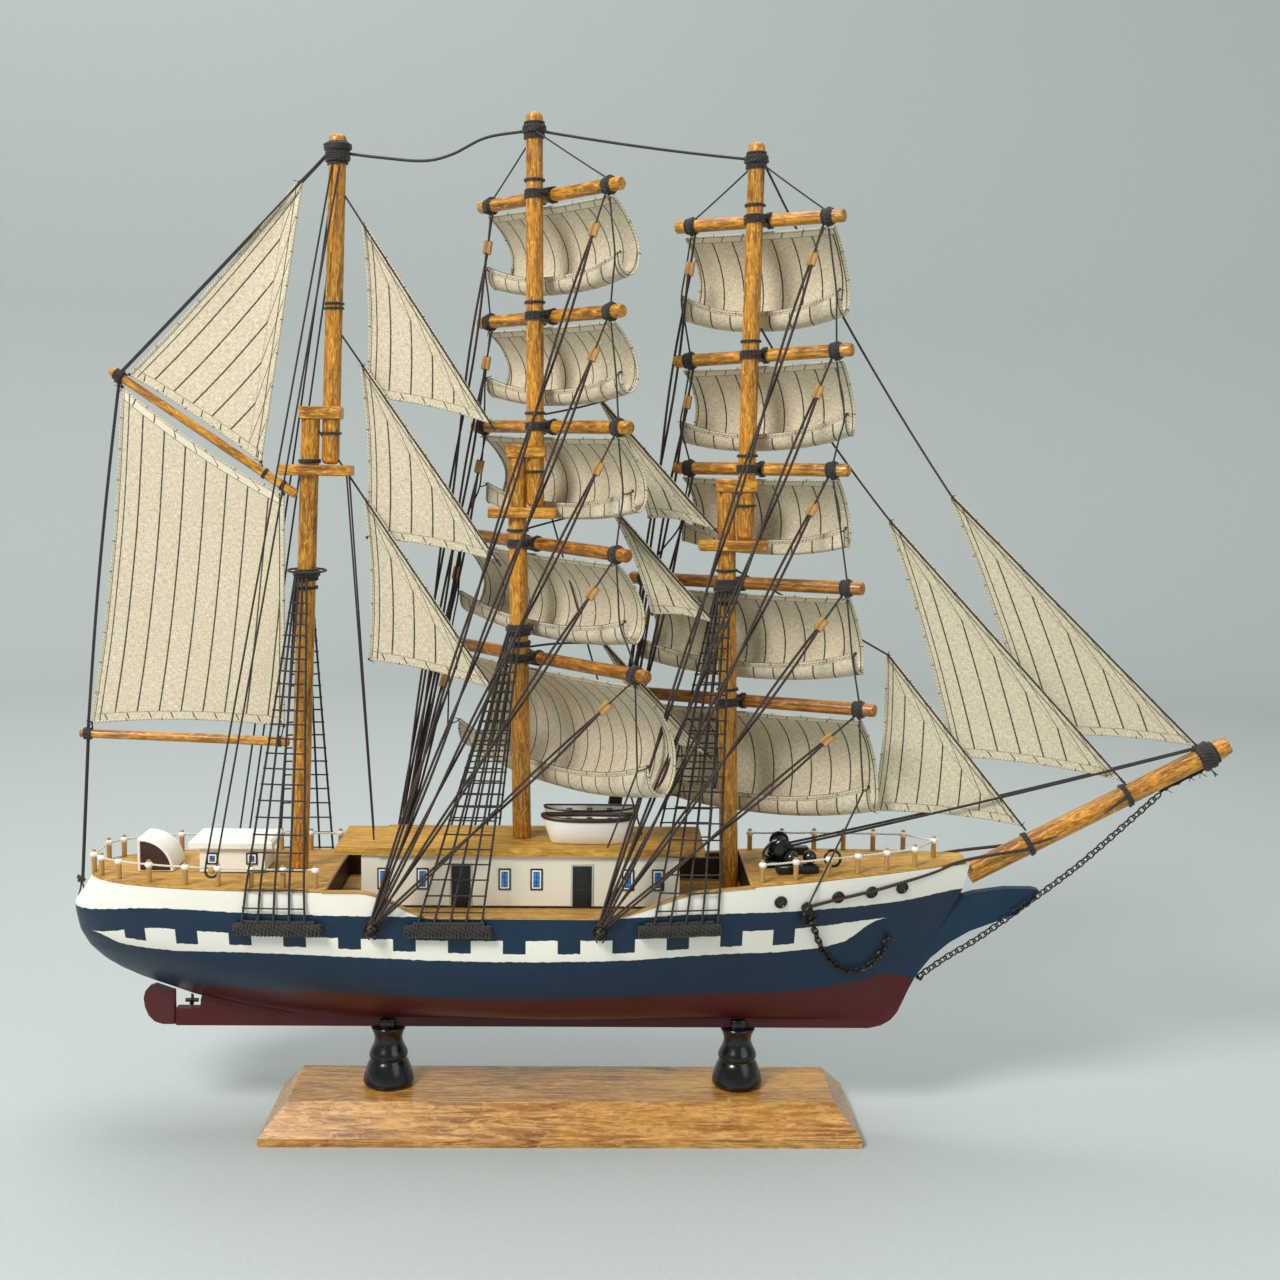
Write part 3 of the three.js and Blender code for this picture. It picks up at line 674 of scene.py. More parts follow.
def linen():
    """Striped sailcloth. Each point carries its distances: run from leech, luff and foot, rim from head and
    nearest plain hem, and grain across and down."""
    look = Look("linen_cloth", 0.92, Sheen_Weight=0.15, Sheen_Roughness=0.6)
    across, down, _, where = look.read("grain")
    leech, luff, foot, _ = look.read("run")
    head, hem, _, _ = look.read("rim")
    lean = look.times(look.larger(look.minus(MITRE, luff), 0.0), 1.8)
    stripe = look.repeat(look.plus(leech, lean), STRIPE_PITCH, 0.46)
    for edge, inner in ((foot, 3.6), (head, 4.2), (hem, 3.5)):
        stripe = look.times(stripe, look.span(edge, inner - 0.15, inner + 0.15))
    stitch = None
    for edge, inner in ((foot, 3.2), (head, 3.8)):
        tilt = look.plus(leech, look.times(edge, 0.55))
        marks = look.repeat(look.plus(tilt, 2.6), STRIPE_PITCH, 0.38)
        marks = look.times(marks, look.span(edge, inner + 0.15, inner - 0.15))
        stitch = marks if stitch is None else look.larger(stitch, marks)
    seams = look.line(hem, 3.3, 0.32)
    for edge, at, width, strength in ((luff, 2.1, 0.3, 0.9), (head, 4.2, 0.3, 0.6), (foot, 3.5, 0.28, 0.5),
                                      (hem, 1.0, 0.26, 0.8), (head, 0.8, 0.24, 0.6), (luff, MITRE, 0.2, 0.4)):
        seams = look.larger(seams, look.times(look.line(edge, at, width), strength))
    broken = look.span(look.noise(where, 1.1, 1.0), 0.28, 0.42, 0.6, 1.0)
    ink = look.times(look.larger(look.larger(stripe, stitch), seams), broken)
    warp = look.noise(look.stretch(where, 2.4, 0.45, 1.0), 1.0, 3.0, 0.75)
    weft = look.noise(look.stretch(where, 0.45, 2.4, 1.0), 1.0, 3.0, 0.75)
    threads = look.times(look.plus(warp, weft), 0.5)
    slow = look.noise(where, 0.05, 2.0)
    base = look.blend(look.span(threads, 0.36, 0.64), linear("#b09b74"), linear("#f9f0da"))
    base = look.blend(look.span(slow, 0.35, 0.65, 0.0, 0.15), base, linear("#c6b798"))
    band = look.span(head, 4.3, 4.1)
    base = look.blend(look.times(band, 0.5), base, linear("#faf3e0"))
    base = look.blend(look.times(ink, 0.97), base, linear("#150f0a"))
    look.colour(base)
    over = look.math("SINE", look.times(across, 2 * math.pi / 0.62))
    under = look.math("SINE", look.times(down, 2 * math.pi / 0.62))
    weave = look.times(over, under)
    relief = look.plus(look.times(weave, 0.3), look.times(threads, 0.9))
    relief = look.minus(relief, look.times(ink, 0.5))
    look.bump(relief, 0.16, 0.8)
    return look.material


def rope(name, light, dark, roughness, lay=1.6, hairs=0.5):
    """Laid thread with loose fibres and a lay that winds round it. The lay's colour is painted: shade in its
    grooves and highlight on its crowns.
    """
    look = Look(name, roughness, Sheen_Weight=0.2)
    x, y, z, where = look.read("grain")
    angle = look.math("ARCTAN2", z, y)
    phase = look.plus(look.times(x, 2 * math.pi / lay), look.times(angle, 2.0))
    # Painted shade and highlight: dark in the grooves of the lay, light on its crowns.
    strand_shading = look.span(look.math("SINE", phase), -1.0, 1.0)
    fibre = look.noise(look.stretch(where, 1.4, 5.0, 5.0), 1.0, 3.0, 0.7)
    tone = look.plus(look.times(strand_shading, 0.55), look.times(fibre, hairs))
    look.colour(look.blend(look.span(tone, 0.2, 0.9), linear(dark), linear(light)))
    look.bump(tone, 0.25, 0.8)
    return look.material


def metal(name, light, dark, roughness, metallic):
    look = Look(name, roughness, Metallic=metallic)
    where = look.read("grain")[3]
    blotch = look.noise(where, 0.9, 4.0, 0.6)
    fine = look.noise(where, 4.0, 2.0, 0.6)
    look.colour(look.blend(look.span(blotch, 0.4, 0.65), linear(dark), linear(light)))
    look.rough(look.span(blotch, 0.35, 0.7, roughness - 0.1, roughness + 0.18))
    look.bump(fine, 0.08, 0.6)
    return look.material


def gloss_black(name, coat=0.35):
    look = Look(name, 0.22, Coat_Weight=coat, Coat_Roughness=0.08, Specular_IOR_Level=0.4)
    where = look.read("grain")[3]
    dust = look.noise(where, 1.3, 4.0, 0.7)
    slow = look.noise(where, 0.12, 2.0)
    look.colour(look.blend(look.span(dust, 0.55, 0.78), linear("#08090b"), linear("#1d1f23")))
    look.rough(look.span(slow, 0.3, 0.7, 0.16, 0.34))
    look.bump(slow, 0.35, 0.4)
    return look.material


def pane_blue():
    look = Look("blue_panes", 0.2, Coat_Weight=0.5)
    where = look.read("grain")[3]
    tone = look.noise(where, 0.8, 2.0)
    look.colour(look.blend(look.span(tone, 0.3, 0.7), linear("#0a58c8"), linear("#2f9df5")))
    look.bump(tone, 0.05, 0.5)
    return look.material


SPAR = wood("varnished_spar", "#ffbe4c", "#e39a28", "#73400c", flecks_and_glints=1.35)
DARK_SPAR = wood("varnished_spar_dark", "#e29c38", "#b8721e", "#5e3208", flecks_and_glints=1.2)
BASE_WOOD = wood("varnished_base", "#ebb56a", "#d0963e", "#7d4a18", True, 0.75, 0.28, 0.8, coat=0.3)
ROOF_WOOD = wood("roof_board", "#f2c052", "#dda93c", "#94641e", True, 0.8, 0.55, 0.6, coat=0.0)
DECK_WOOD = wood("deck_board", "#e8ba66", "#d0a04a", "#8c6326", True, 0.7, 0.6, 0.7, 7.5, coat=0.0)
PALE_WOOD = wood("pale_peg", "#dcb46e", "#cb9c55", "#9a6f33", scale=1.4, gloss=0.45)
BLOCK_WOOD = wood("block_wood", "#dfb674", "#cf9f58", "#8f6128", scale=1.8, gloss=0.45)
BROWN_BOARD = wood("brown_board", "#4d2c1b", "#3d2115", "#241109", scale=1.2, gloss=0.5)
BROWN_PLACE = wood("brown_board_in_place", "#4d2c1b", "#3d2115", "#241109", True, 1.2, 0.5)
WHITE = paint("white_paint", "#f4f1e8", "#c4bdad")
CREAM = paint("cream_paint", "#e6dfce", "#b9ae97", 0.5, True)
CABIN_WHITE = paint("white_paint_in_place", "#f4f1e8", "#c4bdad", 0.42, True)
GREY_TRIM = paint("grey_trim", "#b9b6ae", "#8b877e")
BLACK_PAINT = paint("black_paint", "#101114", "#3a3a3c", 0.35)
HULL_PAINT = hull_paint("hull_paint_pattern", True)
KEEL_PAINT = hull_paint("keel_paint_pattern", False)
RED_PAINT = paint("bottom_red_paint", "#4c0f12", "#6d3a36", 0.45, True)
LINEN = linen()
BOLT_ROPE = rope("bolt_rope", "#ece3cc", "#a3967a", 0.9)
BLACK_THREAD = rope("black_thread", "#3b3430", "#0d0b0a", 0.75)
BROWN_CORD = rope("brown_cord", "#4a3428", "#150d09", 0.8)
WHITE_THREAD = rope("white_thread", "#efebe0", "#b5ad9c", 0.8)
BRONZE = metal("dark_bronze", "#5d4a38", "#1d1713", 0.42, 0.85)
CHAIN_METAL = metal("dark_chain", "#5c554d", "#15120f", 0.4, 0.9)
GLOSS_BLACK = gloss_black("black_gloss_paint")
BLUE_BLACK = gloss_black("blue_black_ball", 0.9)
PANES = pane_blue()
WHITE_BEAD = paint("white_bead", "#efebe2", "#c9c1b0", 0.35)


# ---------- stand ----------
def stand():
    dress("stand_base", BASE_WOOD, 0.9, 4)
    for name in ("stand_post_aft", "stand_post_fore"):
        post(name)


def dress(node, material, bevel=0.0, steps=2):
    """Gives a CAD node its material and softens its edges."""
    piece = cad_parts[node]
    piece.data.materials.clear()
    piece.data.materials.append(material)
    if bevel:
        soften = piece.modifiers.new("soft_edges", "BEVEL")
        soften.width = bevel * MM
        soften.segments = steps
        soften.limit_method = "ANGLE"
        soften.angle_limit = math.radians(28)
        soften.harden_normals = True


# Height where the turned part of a post ends and its two cheeks begin.
POST_SHOULDER = 43.2


def post(node):
    """Turned black post: bell foot, waist with two beads, and cheeks that hold the keel."""
    low, high = box_mm(node)
    x = (low.x + high.x) / 2
    rings = [(9.9, 0), (10.6, 0.4), (11.2, 1.6), (11.1, 3), (10.5, 5.8), (9.7, 8.2), (8.9, 10.2), (8.2, 11.4),
             (8.0, 12.0), (8.4, 12.8), (8.6, 14.0), (8.2, 15.4), (7.4, 17), (6.6, 18.8), (6.2, 20.6),
             (6.3, 22.4), (6.9, 24.2), (7.6, 25.6), (7.7, 26.2), (7.5, POST_SHOULDER - low.z)]
    profile = [(p.x, p.z) for p in spline([V(r, 0, h) for r, h in rings], 3)]
    shape = Shape()
    turned(shape, profile, V(x, 0, low.z), UP, 64)
    for side in (-1, 1):
        box(shape, V(x - 3.2, side * 3.8 - 1, POST_SHOULDER - 1.5), V(x + 3.2, side * 3.8 + 1, high.z), 0.5)
    shape.build(node + "_turned", [GLOSS_BLACK], "stand", "black_gloss", 50, [node])


# ---------- hull ----------
def hull_ring(u, open_well, levels):
    """Points of one cross-section, starboard keel up to the rail, across the deck, and down to port."""
    outer = [hull_point(u, (j / levels) ** 0.9, -1) for j in range(levels + 1)]
    rim = outer[-1]
    width = -rim.y
    inner = max(width - BULWARK, width * 0.5)
    if open_well:
        floor_half = min(inner, side_half(rim.x, WELL_FLOOR) - 1.0)
        across = [V(rim.x, -inner, rim.z), V(rim.x, -floor_half, WELL_FLOOR), V(rim.x, 0, WELL_FLOOR)]
    else:
        across = [V(rim.x, -inner, rim.z), V(rim.x, -inner / 2, rim.z), V(rim.x, 0, rim.z)]
    port = [V(p.x, -p.y, p.z) for p in (outer + across[:2])[::-1]]
    return outer + across + port


def hull():
    """Hollow shell with a raised deck at each end and an open well between, brown inside the well."""
    levels, stations = 34, 150
    ends = [(x - STERN_TOP_X) / (BOW_TOP_X - STERN_TOP_X) for x in (WELL_AFT_X, WELL_FORE_X)]
    shares = [0.55 * i / stations + 0.225 * (1 - math.cos(math.pi * i / stations))
              for i in range(stations + 1)]
    shares = [u for u in shares if min(abs(u - e) for e in ends) > 0.002]
    plan = [(u, ends[0] < u < ends[1]) for u in shares]
    plan += [(ends[0], False), (ends[0] + 1e-7, True), (ends[1] - 1e-7, True), (ends[1], False)]
    plan.sort()
    rings = [hull_ring(u, well, levels) for u, well in plan]
    sides = len(rings[0])
    points = [p for ring in rings for p in ring]
    faces = rings_faces(len(rings), sides, False)[:-2]
    last = (len(rings) - 1) * sides
    half = sides // 2
    faces += [(last + j, last + j + 1, last + sides - 2 - j, last + sides - 1 - j) for j in range(half)]
    opened = [well for _, well in plan]
    mesh = bpy.data.meshes.new("hull_shell")
    mesh.from_pydata([p * MM for p in points], [], faces)
    for material in (HULL_PAINT, BROWN_PLACE):
        mesh.materials.append(material)
    for i, face in enumerate(mesh.polygons):
        ring, k = divmod(i, sides)
        in_well = ring < len(rings) - 1 and (opened[ring] or opened[ring + 1])
        face.material_index = int(in_well and levels < k < levels + 5)
    work = bmesh.new()
    work.from_mesh(mesh)
    bmesh.ops.remove_doubles(work, verts=work.verts, dist=2e-6)
    bmesh.ops.dissolve_degenerate(work, edges=work.edges, dist=1e-6)
    work.to_mesh(mesh)
    work.free()
    finish_piece("hull_shell", mesh, "ship", 35, ["hull"])


def decks():
    """Deck boards, the caps of the well's bulwarks, and the beams at its two ends."""
    for node in ("quarterdeck", "forecastle_deck"):
        dress(node, DECK_WOOD, 0.25)
    waist_deck()
    for side, name in SIDES:
        shape = Shape()
        path = []
        for i in range(81):
            x = mix(WELL_AFT_X - 1, WELL_FORE_X + 1, i / 80)
            path.append(V(x, side * (top_half(x) - BULWARK / 2), sheer(x) + 0.45))
        rail_strip(shape, path, BULWARK + 0.5, 0.9)
        shape.build("bulwark_cap_" + name, [PALE_WOOD], "ship", "deck_wood")
    shape = Shape()
    for x in (WELL_AFT_X, WELL_FORE_X):
        width = top_half(x) - 1.6
        z = sheer(x) + DECK_LIFT
        box(shape, V(x - 0.7, -width, z - 1.3), V(x + 0.7, width, z + 0.25), 0.3, grain_axis=1)
    shape.build("deck_break_beams", [PALE_WOOD], "ship", "deck_wood")


def waist_deck():
    """Board between the bulwarks, narrower towards the bow where the hull's side falls in below the rail."""
    low, high = box_mm("waist_deck")
    shape = Shape()
    stations = 40
    points = []
    for i in range(stations + 1):
        x = mix(low.x, high.x, i / stations)
        half = min(top_half(x) - BULWARK, side_half(x, WELL_FLOOR) - 1.0) + 0.1
        points += [V(x, y, z) for y, z in ((-half, low.z), (half, low.z), (half, high.z), (-half, high.z))]
    shape.add(points, rings_faces(stations + 1, 4, False))
    shape.build("waist_deck_boards", [DECK_WOOD], "ship", "deck_wood", 40, ["waist_deck"])


def rail_strip(shape, path, width, height):
    """Flat strip laid along a path, level across."""
    points, grain, run = [], [], 0.0
    for i, p in enumerate(path):
        ahead = path[min(i + 1, len(path) - 1)] - path[max(i - 1, 0)]
        across = V(-ahead.y, ahead.x, 0).normalized() * width / 2
        run += (p - path[i - 1]).length if i else 0
        for a, b in ((-1, -1), (1, -1), (1, 1), (-1, 1)):
            points.append(p + across * a + UP * (b * height / 2))
            grain.append(V(run, a * width / 2, b * height / 2))
    shape.add(points, rings_faces(len(path), 4, False), grain)


def portholes():
    """Ringed portholes in both bows."""
    shape = Shape()
    for x, z in ((92.5, 108.7), (117.8, 109.6), (132.8, 110.9), (146.8, 111.9)):
        for side in (-1, 1):
            out = side_normal(x, z, side)
            centre = on_side(x, z, side)
            rim = [(0.2, -0.6), (2.8, -0.5), (2.85, 0.3), (2.6, 0.75), (2.2, 0.8), (1.9, 0.5), (1.8, 0.2)]
            turned(shape, rim, centre + out * 0.1, out, 28)
            glass = [(0.2, -0.4), (1.95, -0.3), (1.9, 0.3), (1.2, 0.22), (0.2, 0.2)]
            turned(shape, glass, centre + out * 0.1, out, 20, 1)
    shape.build("portholes", [BLACK_PAINT, BROWN_BOARD])


# For each mast: ends of its channel board, first and last shroud foot, and the height where the shrouds meet
# the mast. All but the last are X.
CHANNEL_HEIGHT = 97.6
SHROUDS = {
    "mizzen": ((-137.4, -101.0), (-134.4, -107.8), 243.8),
    "main": ((-66.0, -30.0), (-61.2, -34.2), 220.9),
    "fore": ((31.8, 66.8), (38.0, 65.4), 239.4),
}


def channel(name, side, low, high):
    """Thread-wrapped board on the hull's side that the shrouds end on."""
    path = [on_side(mix(low, high, i / 12), CHANNEL_HEIGHT, side, 2.2) for i in range(13)]
    shape = Shape()
    tube(shape, path, [1.0] + [2.0] * (len(path) - 2) + [1.0], 10)
    tube(shape, [p + V(0, -side * 0.6, 3.0) for p in path[1:-1]], 0.95, 8)
    dense = spline(path, 16)
    winding = []
    for i, p in enumerate(dense[:-1]):
        ahead = (dense[i + 1] - p).normalized()
        w = ahead.cross(UP)
        for k in range(3):
            angle = 2 * math.pi * (i * 3 + k) / 12
            spot = p.lerp(dense[i + 1], k / 3)
            rough = 1 + 0.12 * math.sin(i * 2.3)
            winding.append(spot + UP * (2.35 * rough * math.cos(angle)) + w * (2.1 * rough * math.sin(angle)))
    tube(shape, winding, 0.48, 5)
    shape.build(f"{name}_channel", [BLACK_THREAD])


# ---------- houses and fittings ----------
def window(shape, centre, width, height, side, columns, rows):
    """Frame, sash and panes on a wall that faces side along Y."""
    def slab(w, h, depth, start, use, bevel=0.12, dx=0.0, dz=0.0):
        y0, y1 = sorted((centre.y + side * start, centre.y + side * (start + depth)))
        box(shape, V(centre.x + dx - w / 2, y0, centre.z + dz - h / 2),
            V(centre.x + dx + w / 2, y1, centre.z + dz + h / 2), bevel, use)
    slab(width, height, 0.6, -0.1, 0)
    slab(width - 1.3, height - 1.3, 0.6, 0.0, 1)
    slab(width - 2.5, height - 2.5, 0.6, 0.08, 0)
    pane_w = (width - 2.9) / columns
    pane_h = (height - 2.9) / rows
    for i in range(columns):
        for j in range(rows):
            slab(pane_w - 0.22, pane_h - 0.3, 0.3, 0.5, 2, 0.08,
                 (i - (columns - 1) / 2) * pane_w, (j - (rows - 1) / 2) * pane_h)


DOOR_FOOT = 103.4


def wall_board(shape, wall, out_from, out_to, spans, bevel, use=0):
    """Board on the deckhouse's side wall, between two distances out from it. spans is (x, x, z, z)."""
    x0, x1, z0, z1 = spans
    side = math.copysign(1, wall)
    y0, y1 = sorted((wall + side * out_from, wall + side * out_to))
    box(shape, V(x0, y0, z0), V(x1, y1, z1), bevel, use)


def deckhouse():
    dress("deckhouse", CREAM, 0.3)
    dress("deckhouse_roof", ROOF_WOOD, 0.5, 3)
    low, high = box_mm("deckhouse")
    wall = high.y
    panes, doors, trim = Shape(), Shape(), Shape()
    for side in (-1, 1):
        y = side * wall
        for x in (-77.3, -60.6, -25.5, -11.8, 27.5, 40.4):
            window(panes, V(x, y, 115.4), 5.3, 9.4, side, 2, 3)
        for x in (-44.2, 7.8):
            wall_board(doors, y, -0.1, 0.45, (x - 4.9, x + 4.9, DOOR_FOOT, 122.2), 0.2, 1)
            wall_board(doors, y, 0, 0.75, (x - 4.1, x + 4.1, DOOR_FOOT, 121.4), 0.2)
            for z in (108, 116.5):
                wall_board(doors, y, 0.6, 0.95, (x - 2.9, x + 2.9, z - 3.2, z + 3.2), 0.25)
            ball(doors, V(x + 3.2, y + side * 1.0, 112), 0.45, 2, 8)
        wall_board(trim, y, -0.1, 0.5, (low.x - 0.1, high.x + 0.1, low.z, low.z + 0.7), 0.15)
    for x, way in ((low.x, -1), (high.x, 1)):
        x0, x1 = sorted((x - way * 0.1, x + way * 0.5))
        box(trim, V(x0, -wall - 0.4, low.z), V(x1, wall + 0.4, low.z + 0.7), 0.15)
        x0, x1 = sorted((x, x + way * 0.6))
        box(doors, V(x0, -4.4, DOOR_FOOT), V(x1, 4.4, 122), 0.2, 0)
    panes.build("deckhouse_windows", [BLACK_PAINT, WHITE, PANES], "ship", "white_paint")
    doors.build("deckhouse_doors", [BLACK_PAINT, GREY_TRIM, BRONZE], "ship", "black_gloss")
    trim.build("deckhouse_skirting", [BLACK_PAINT], "ship", "black_gloss")


def aft_cabin():
    dress("aft_cabin", CABIN_WHITE, 0.3)
    panes = Shape()
    for side in (-1, 1):
        for x in (-152.3, -135.3):
            window(panes, V(x, side * 10.5, 121.2), 4.9, 5.2, side, 2, 2)
    panes.build("aft_cabin_windows", [BLACK_PAINT, WHITE, PANES], "ship", "white_paint")


def steering_box():
    """Quarter-round box: white curved cover with rims, dark boards set into its sides."""
    low, high = box_mm("steering_gear_box")
    def arc(inset):
        outline = [(low.x + inset, low.z + inset * 0.3), (high.x - inset, low.z + inset * 0.3)]
        for i in range(1, 25):
            angle = math.pi / 2 * i / 24
            outline.append((mix(low.x + inset, high.x - inset, math.cos(angle)),
                            mix(low.z + inset * 0.3, high.z - inset, math.sin(angle))))
        return outline
    wide = high.y - low.y
    shape = Shape()
    plate(shape, arc(0.0), wide - 0.2, 0)
    rim = [V(x, 0, z) for x, z in arc(0.55)]
    for side in (-1, 1):
        edge = [V(p.x, side * (wide / 2 - 0.35), p.z) for p in rim[1:] + rim[:1]]
        tube(shape, edge, 0.55, 8, 0)
    plate(shape, arc(1.15), wide + 0.05, 1)
    shape.build("steering_gear_box_boards", [WHITE, BROWN_BOARD], "ship", "white_paint", 30,
                ["steering_gear_box"])


def lifeboat(node, gunwale, lip):
    """Open boat with a flat-bottomed shell, rounded gunwale of radius lip, thwarts and keel."""
    low, high = box_mm(node)
    x0 = (low.x + high.x) / 2
    y0 = (low.y + high.y) / 2
    length, width = (high.x - low.x) / 2, (high.y - low.y) / 2
    shape = Shape()

    def ring(share_x, share_y, z, count=48):
        points = []
        for angle in circle(count):
            side = math.copysign(abs(math.sin(angle)) ** 0.8, math.sin(angle))
            lift = 0.9 * math.cos(angle) ** 4 * (z - low.z) / (high.z - low.z)
            x = x0 + length * share_x * math.cos(angle)
            points.append(V(x, y0 + width * share_y * side, z - 0.9 + lift))
        return points

    stages = [(0.79, 0.58, 0.9), (0.82, 0.66, 1.8), (0.86, 0.79, 4), (0.91, 0.89, 6.6), (0.955, 0.955, 9.4),
              (0.985, 0.985, 11.5), (0.945, 0.9, 11.5), (0.92, 0.86, 9.4), (0.86, 0.76, 6.6),
              (0.80, 0.62, 4.6)]
    rings = [ring(a, b, low.z + h) for a, b, h in stages]
    shape.add([p for r in rings for p in r], rings_faces(len(rings), 48, False))
    tube(shape, ring(0.972, 0.965, low.z + 11.7), lip, 8, 1, True, 0.8)
    for x in (-9, 0, 9):
        reach = width * 0.86 * (1 - (x / length) ** 2) ** 0.4
        box(shape, V(x0 + x - 1.3, y0 - reach, high.z - 3.2),
            V(x0 + x + 1.3, y0 + reach, high.z - 2.4), 0.2, 1)
    box(shape, V(x0 - length * 0.72, y0 - 0.5, low.z), V(x0 + length * 0.72, y0 + 0.5, low.z + 1.2), 0.2, 0)
    shape.build(node + "_planked", [WHITE, gunwale], "ship", "white_paint", 30, [node])


def windlass():
    """Black anchor winch: bed, two bitts, barrel with warping heads and rope round it."""
    deck = box_mm("windlass")[0].z
    x = 95.5
    shape = Shape()
    box(shape, V(88, -7.6, deck), V(103, 7.6, deck + 2.2), 0.4)
    for side in (-1, 1):
        box(shape, V(92.6, side * 5.5 - 0.9, deck + 2), V(98.4, side * 5.5 + 0.9, deck + 10.6), 0.5)
        head = [(1.6, 0), (3.9, 0.2), (4.4, 0.7), (4.1, 1.2), (3.0, 1.6), (3.0, 2.2), (3.8, 2.6), (3.9, 3.0),
                (1.6, 3.1)]
        turned(shape, head, V(x, side * 6.6, deck + 8), V(0, side, 0), 28)
    barrel = [(1, -5), (2.6, -5), (2.7, -4), (2.6, 4), (2.6, 5), (1, 5)]
    turned(shape, barrel, V(x, 0, deck + 8), V(0, 1, 0), 28)
    for y in (-3, -1, 1, 3):
        coil(shape, V(x, y, deck + 8), V(0, 1, 0), 2.7, 1.8)
    for dx, dy in ((-6, -1), (-4, 3), (5, -3), (4, 2)):
        path = spline([V(x, dy, deck + 10.8), V(x + dx * 0.7, dy + 1, deck + 9),
                       V(x + dx * 1.3, dy * 0.4, deck + 4.5), V(x + dx, dy - 1, deck + 2.8),
                       V(x + dx * 0.3, dy, deck + 3)], 6)
        tube(shape, path, 0.62, 7)
    shape.build("windlass_turned", [GLOSS_BLACK], "ship", "dark_metal", 40, ["windlass"])


def forecastle_fittings():
    deck = sheer(110) + DECK_LIFT
    shape = Shape()
    box(shape, V(91.5, -19.5, deck), V(110, -14.2, deck + 3.4), 0.5)
    box(shape, V(91.5, 14.2, deck), V(110, 19.5, deck + 3.4), 0.5)
    hoop = [V(117.5 + 3.4 * math.cos(a), -8 + 0.8 * math.sin(a), deck + 4.1 + 3.4 * math.sin(a))
            for a in circle(28)]
    tube(shape, hoop, 0.65, 8, 0, True)
    turned(shape, [(1.6, 0), (1.7, 0.4), (0.9, 0.9), (0.8, 1.3)], V(117.5, -8, deck), UP, 16)
    shape.build("forecastle_box_and_hoop", [GLOSS_BLACK], "ship", "black_gloss")
    balls = Shape()
    for x, y in ((98.7, -12.6), (107.0, -10.6)):
        ball(balls, V(x, y, deck + 5.2), 3.1, 0, 24)
        turned(balls, [(1.4, 0), (1.3, 0.6), (0.8, 1.2), (0.8, 2.4)], V(x, y, deck + 0.1), UP, 16)
    balls.build("forecastle_balls", [BLUE_BLACK], "ship", "black_gloss")


def rail(name, places):
    """Pegs with white beads, and a white line strung through the beads."""
    posts, beads, line = Shape(), Shape(), Shape()
    tops = []
    for x, y in places:
        foot = sheer(x) + DECK_LIFT
        peg = [(1.0, 0), (1.12, 0.4), (1.12, 6.2), (1.0, 6.6), (0.95, 9.2), (0.7, 9.75), (0.2, 9.9)]
        turned(posts, peg, V(x, y, foot), UP, 14)
        ball(beads, V(x, y, foot + 7.7), 1.75, 0, 14, 0.85)
        tops.append(V(x, y, foot + 7.9))
    path = []
    for a, b in zip(tops, tops[1:]):
        path += straight(a, b, 6, 0.25)[:-1]
    tube(line, path + [tops[-1]], 0.45, 7)
    posts.build(name + "_pegs", [PALE_WOOD], "ship", "rail_wood", 40, [name])
    beads.build(name + "_beads", [WHITE_BEAD], "ship", "rail_wood")
    line.build(name + "_line", [WHITE_THREAD], "ship", "linen")


def rails():
    def inboard(x):
        return top_half(x) - 2.8
    quarter = [(x, inboard(x)) for x in (-104, -117.5, -131, -145, -159, -175, -189, -198, -203)]
    rail("quarterdeck_rail", quarter + [(x, -y) for x, y in quarter[::-1]])
    fore = [(x, inboard(x)) for x in (84.5, 99, 113.5, 126.5, 139.5, 152.5)]
    rail("forecastle_rail", [(x, -y) for x, y in fore] + [(163.5, 0)] + fore[::-1])


# The keel board's edge that lies against the hull, from its after end round to the beak, as (x, height).
KEEL_SEAM = [(-160.4, 55.4), (-143.7, 51.4), (-121, 47.4), (138.4, 47.4), (149.2, 54.8), (154.8, 67.4),
             (160.7, 78), (167.8, 90), (172.9, 99), (177.3, 104.6)]


def keel_fairing():
    """Filler that closes the seam between the keel board and the hull, thinner towards the hull's inside."""
    shape = Shape()
    corners = [V(x, 0, z) for x, z in KEEL_SEAM]
    path = [a.lerp(b, i / 4) for a, b in zip(corners, corners[1:]) for i in range(4)] + corners[-1:]
    points = []
    for i, p in enumerate(path):
        ahead = path[min(i + 1, len(path) - 1)] - path[max(i - 1, 0)]
        inward = V(-ahead.z, 0, ahead.x).normalized()
        for depth, half in ((-0.35, 2.42), (0.9, 2.42), (3.4, 0.5)):
            points.append(p + inward * depth - V(0, half, 0))
        for depth, half in ((3.4, 0.5), (0.9, 2.42), (-0.35, 2.42)):
            points.append(p + inward * depth + V(0, half, 0))
    shape.add(points, rings_faces(len(path), 6, False))
    shape.build("keel_fairing", [KEEL_PAINT], "ship", "bottom_paint")


def small_hull_parts():
    dress("keel", KEEL_PAINT, 0.5, 3)
    keel_fairing()
    dress("rudder", RED_PAINT, 0.35, 3)
    dress("propeller", BRONZE, 0.08)


# ---------- masts and spars ----------
MAST_LEAN = {"mizzen": 7.0, "main": -3.2, "fore": -4.7}
MAST_HEAD_BELOW_CAP = 2.9
LOWER_MAST_RADIUS = 4.1
TOPMAST_RADIUS = 3.8
MASTS = {}


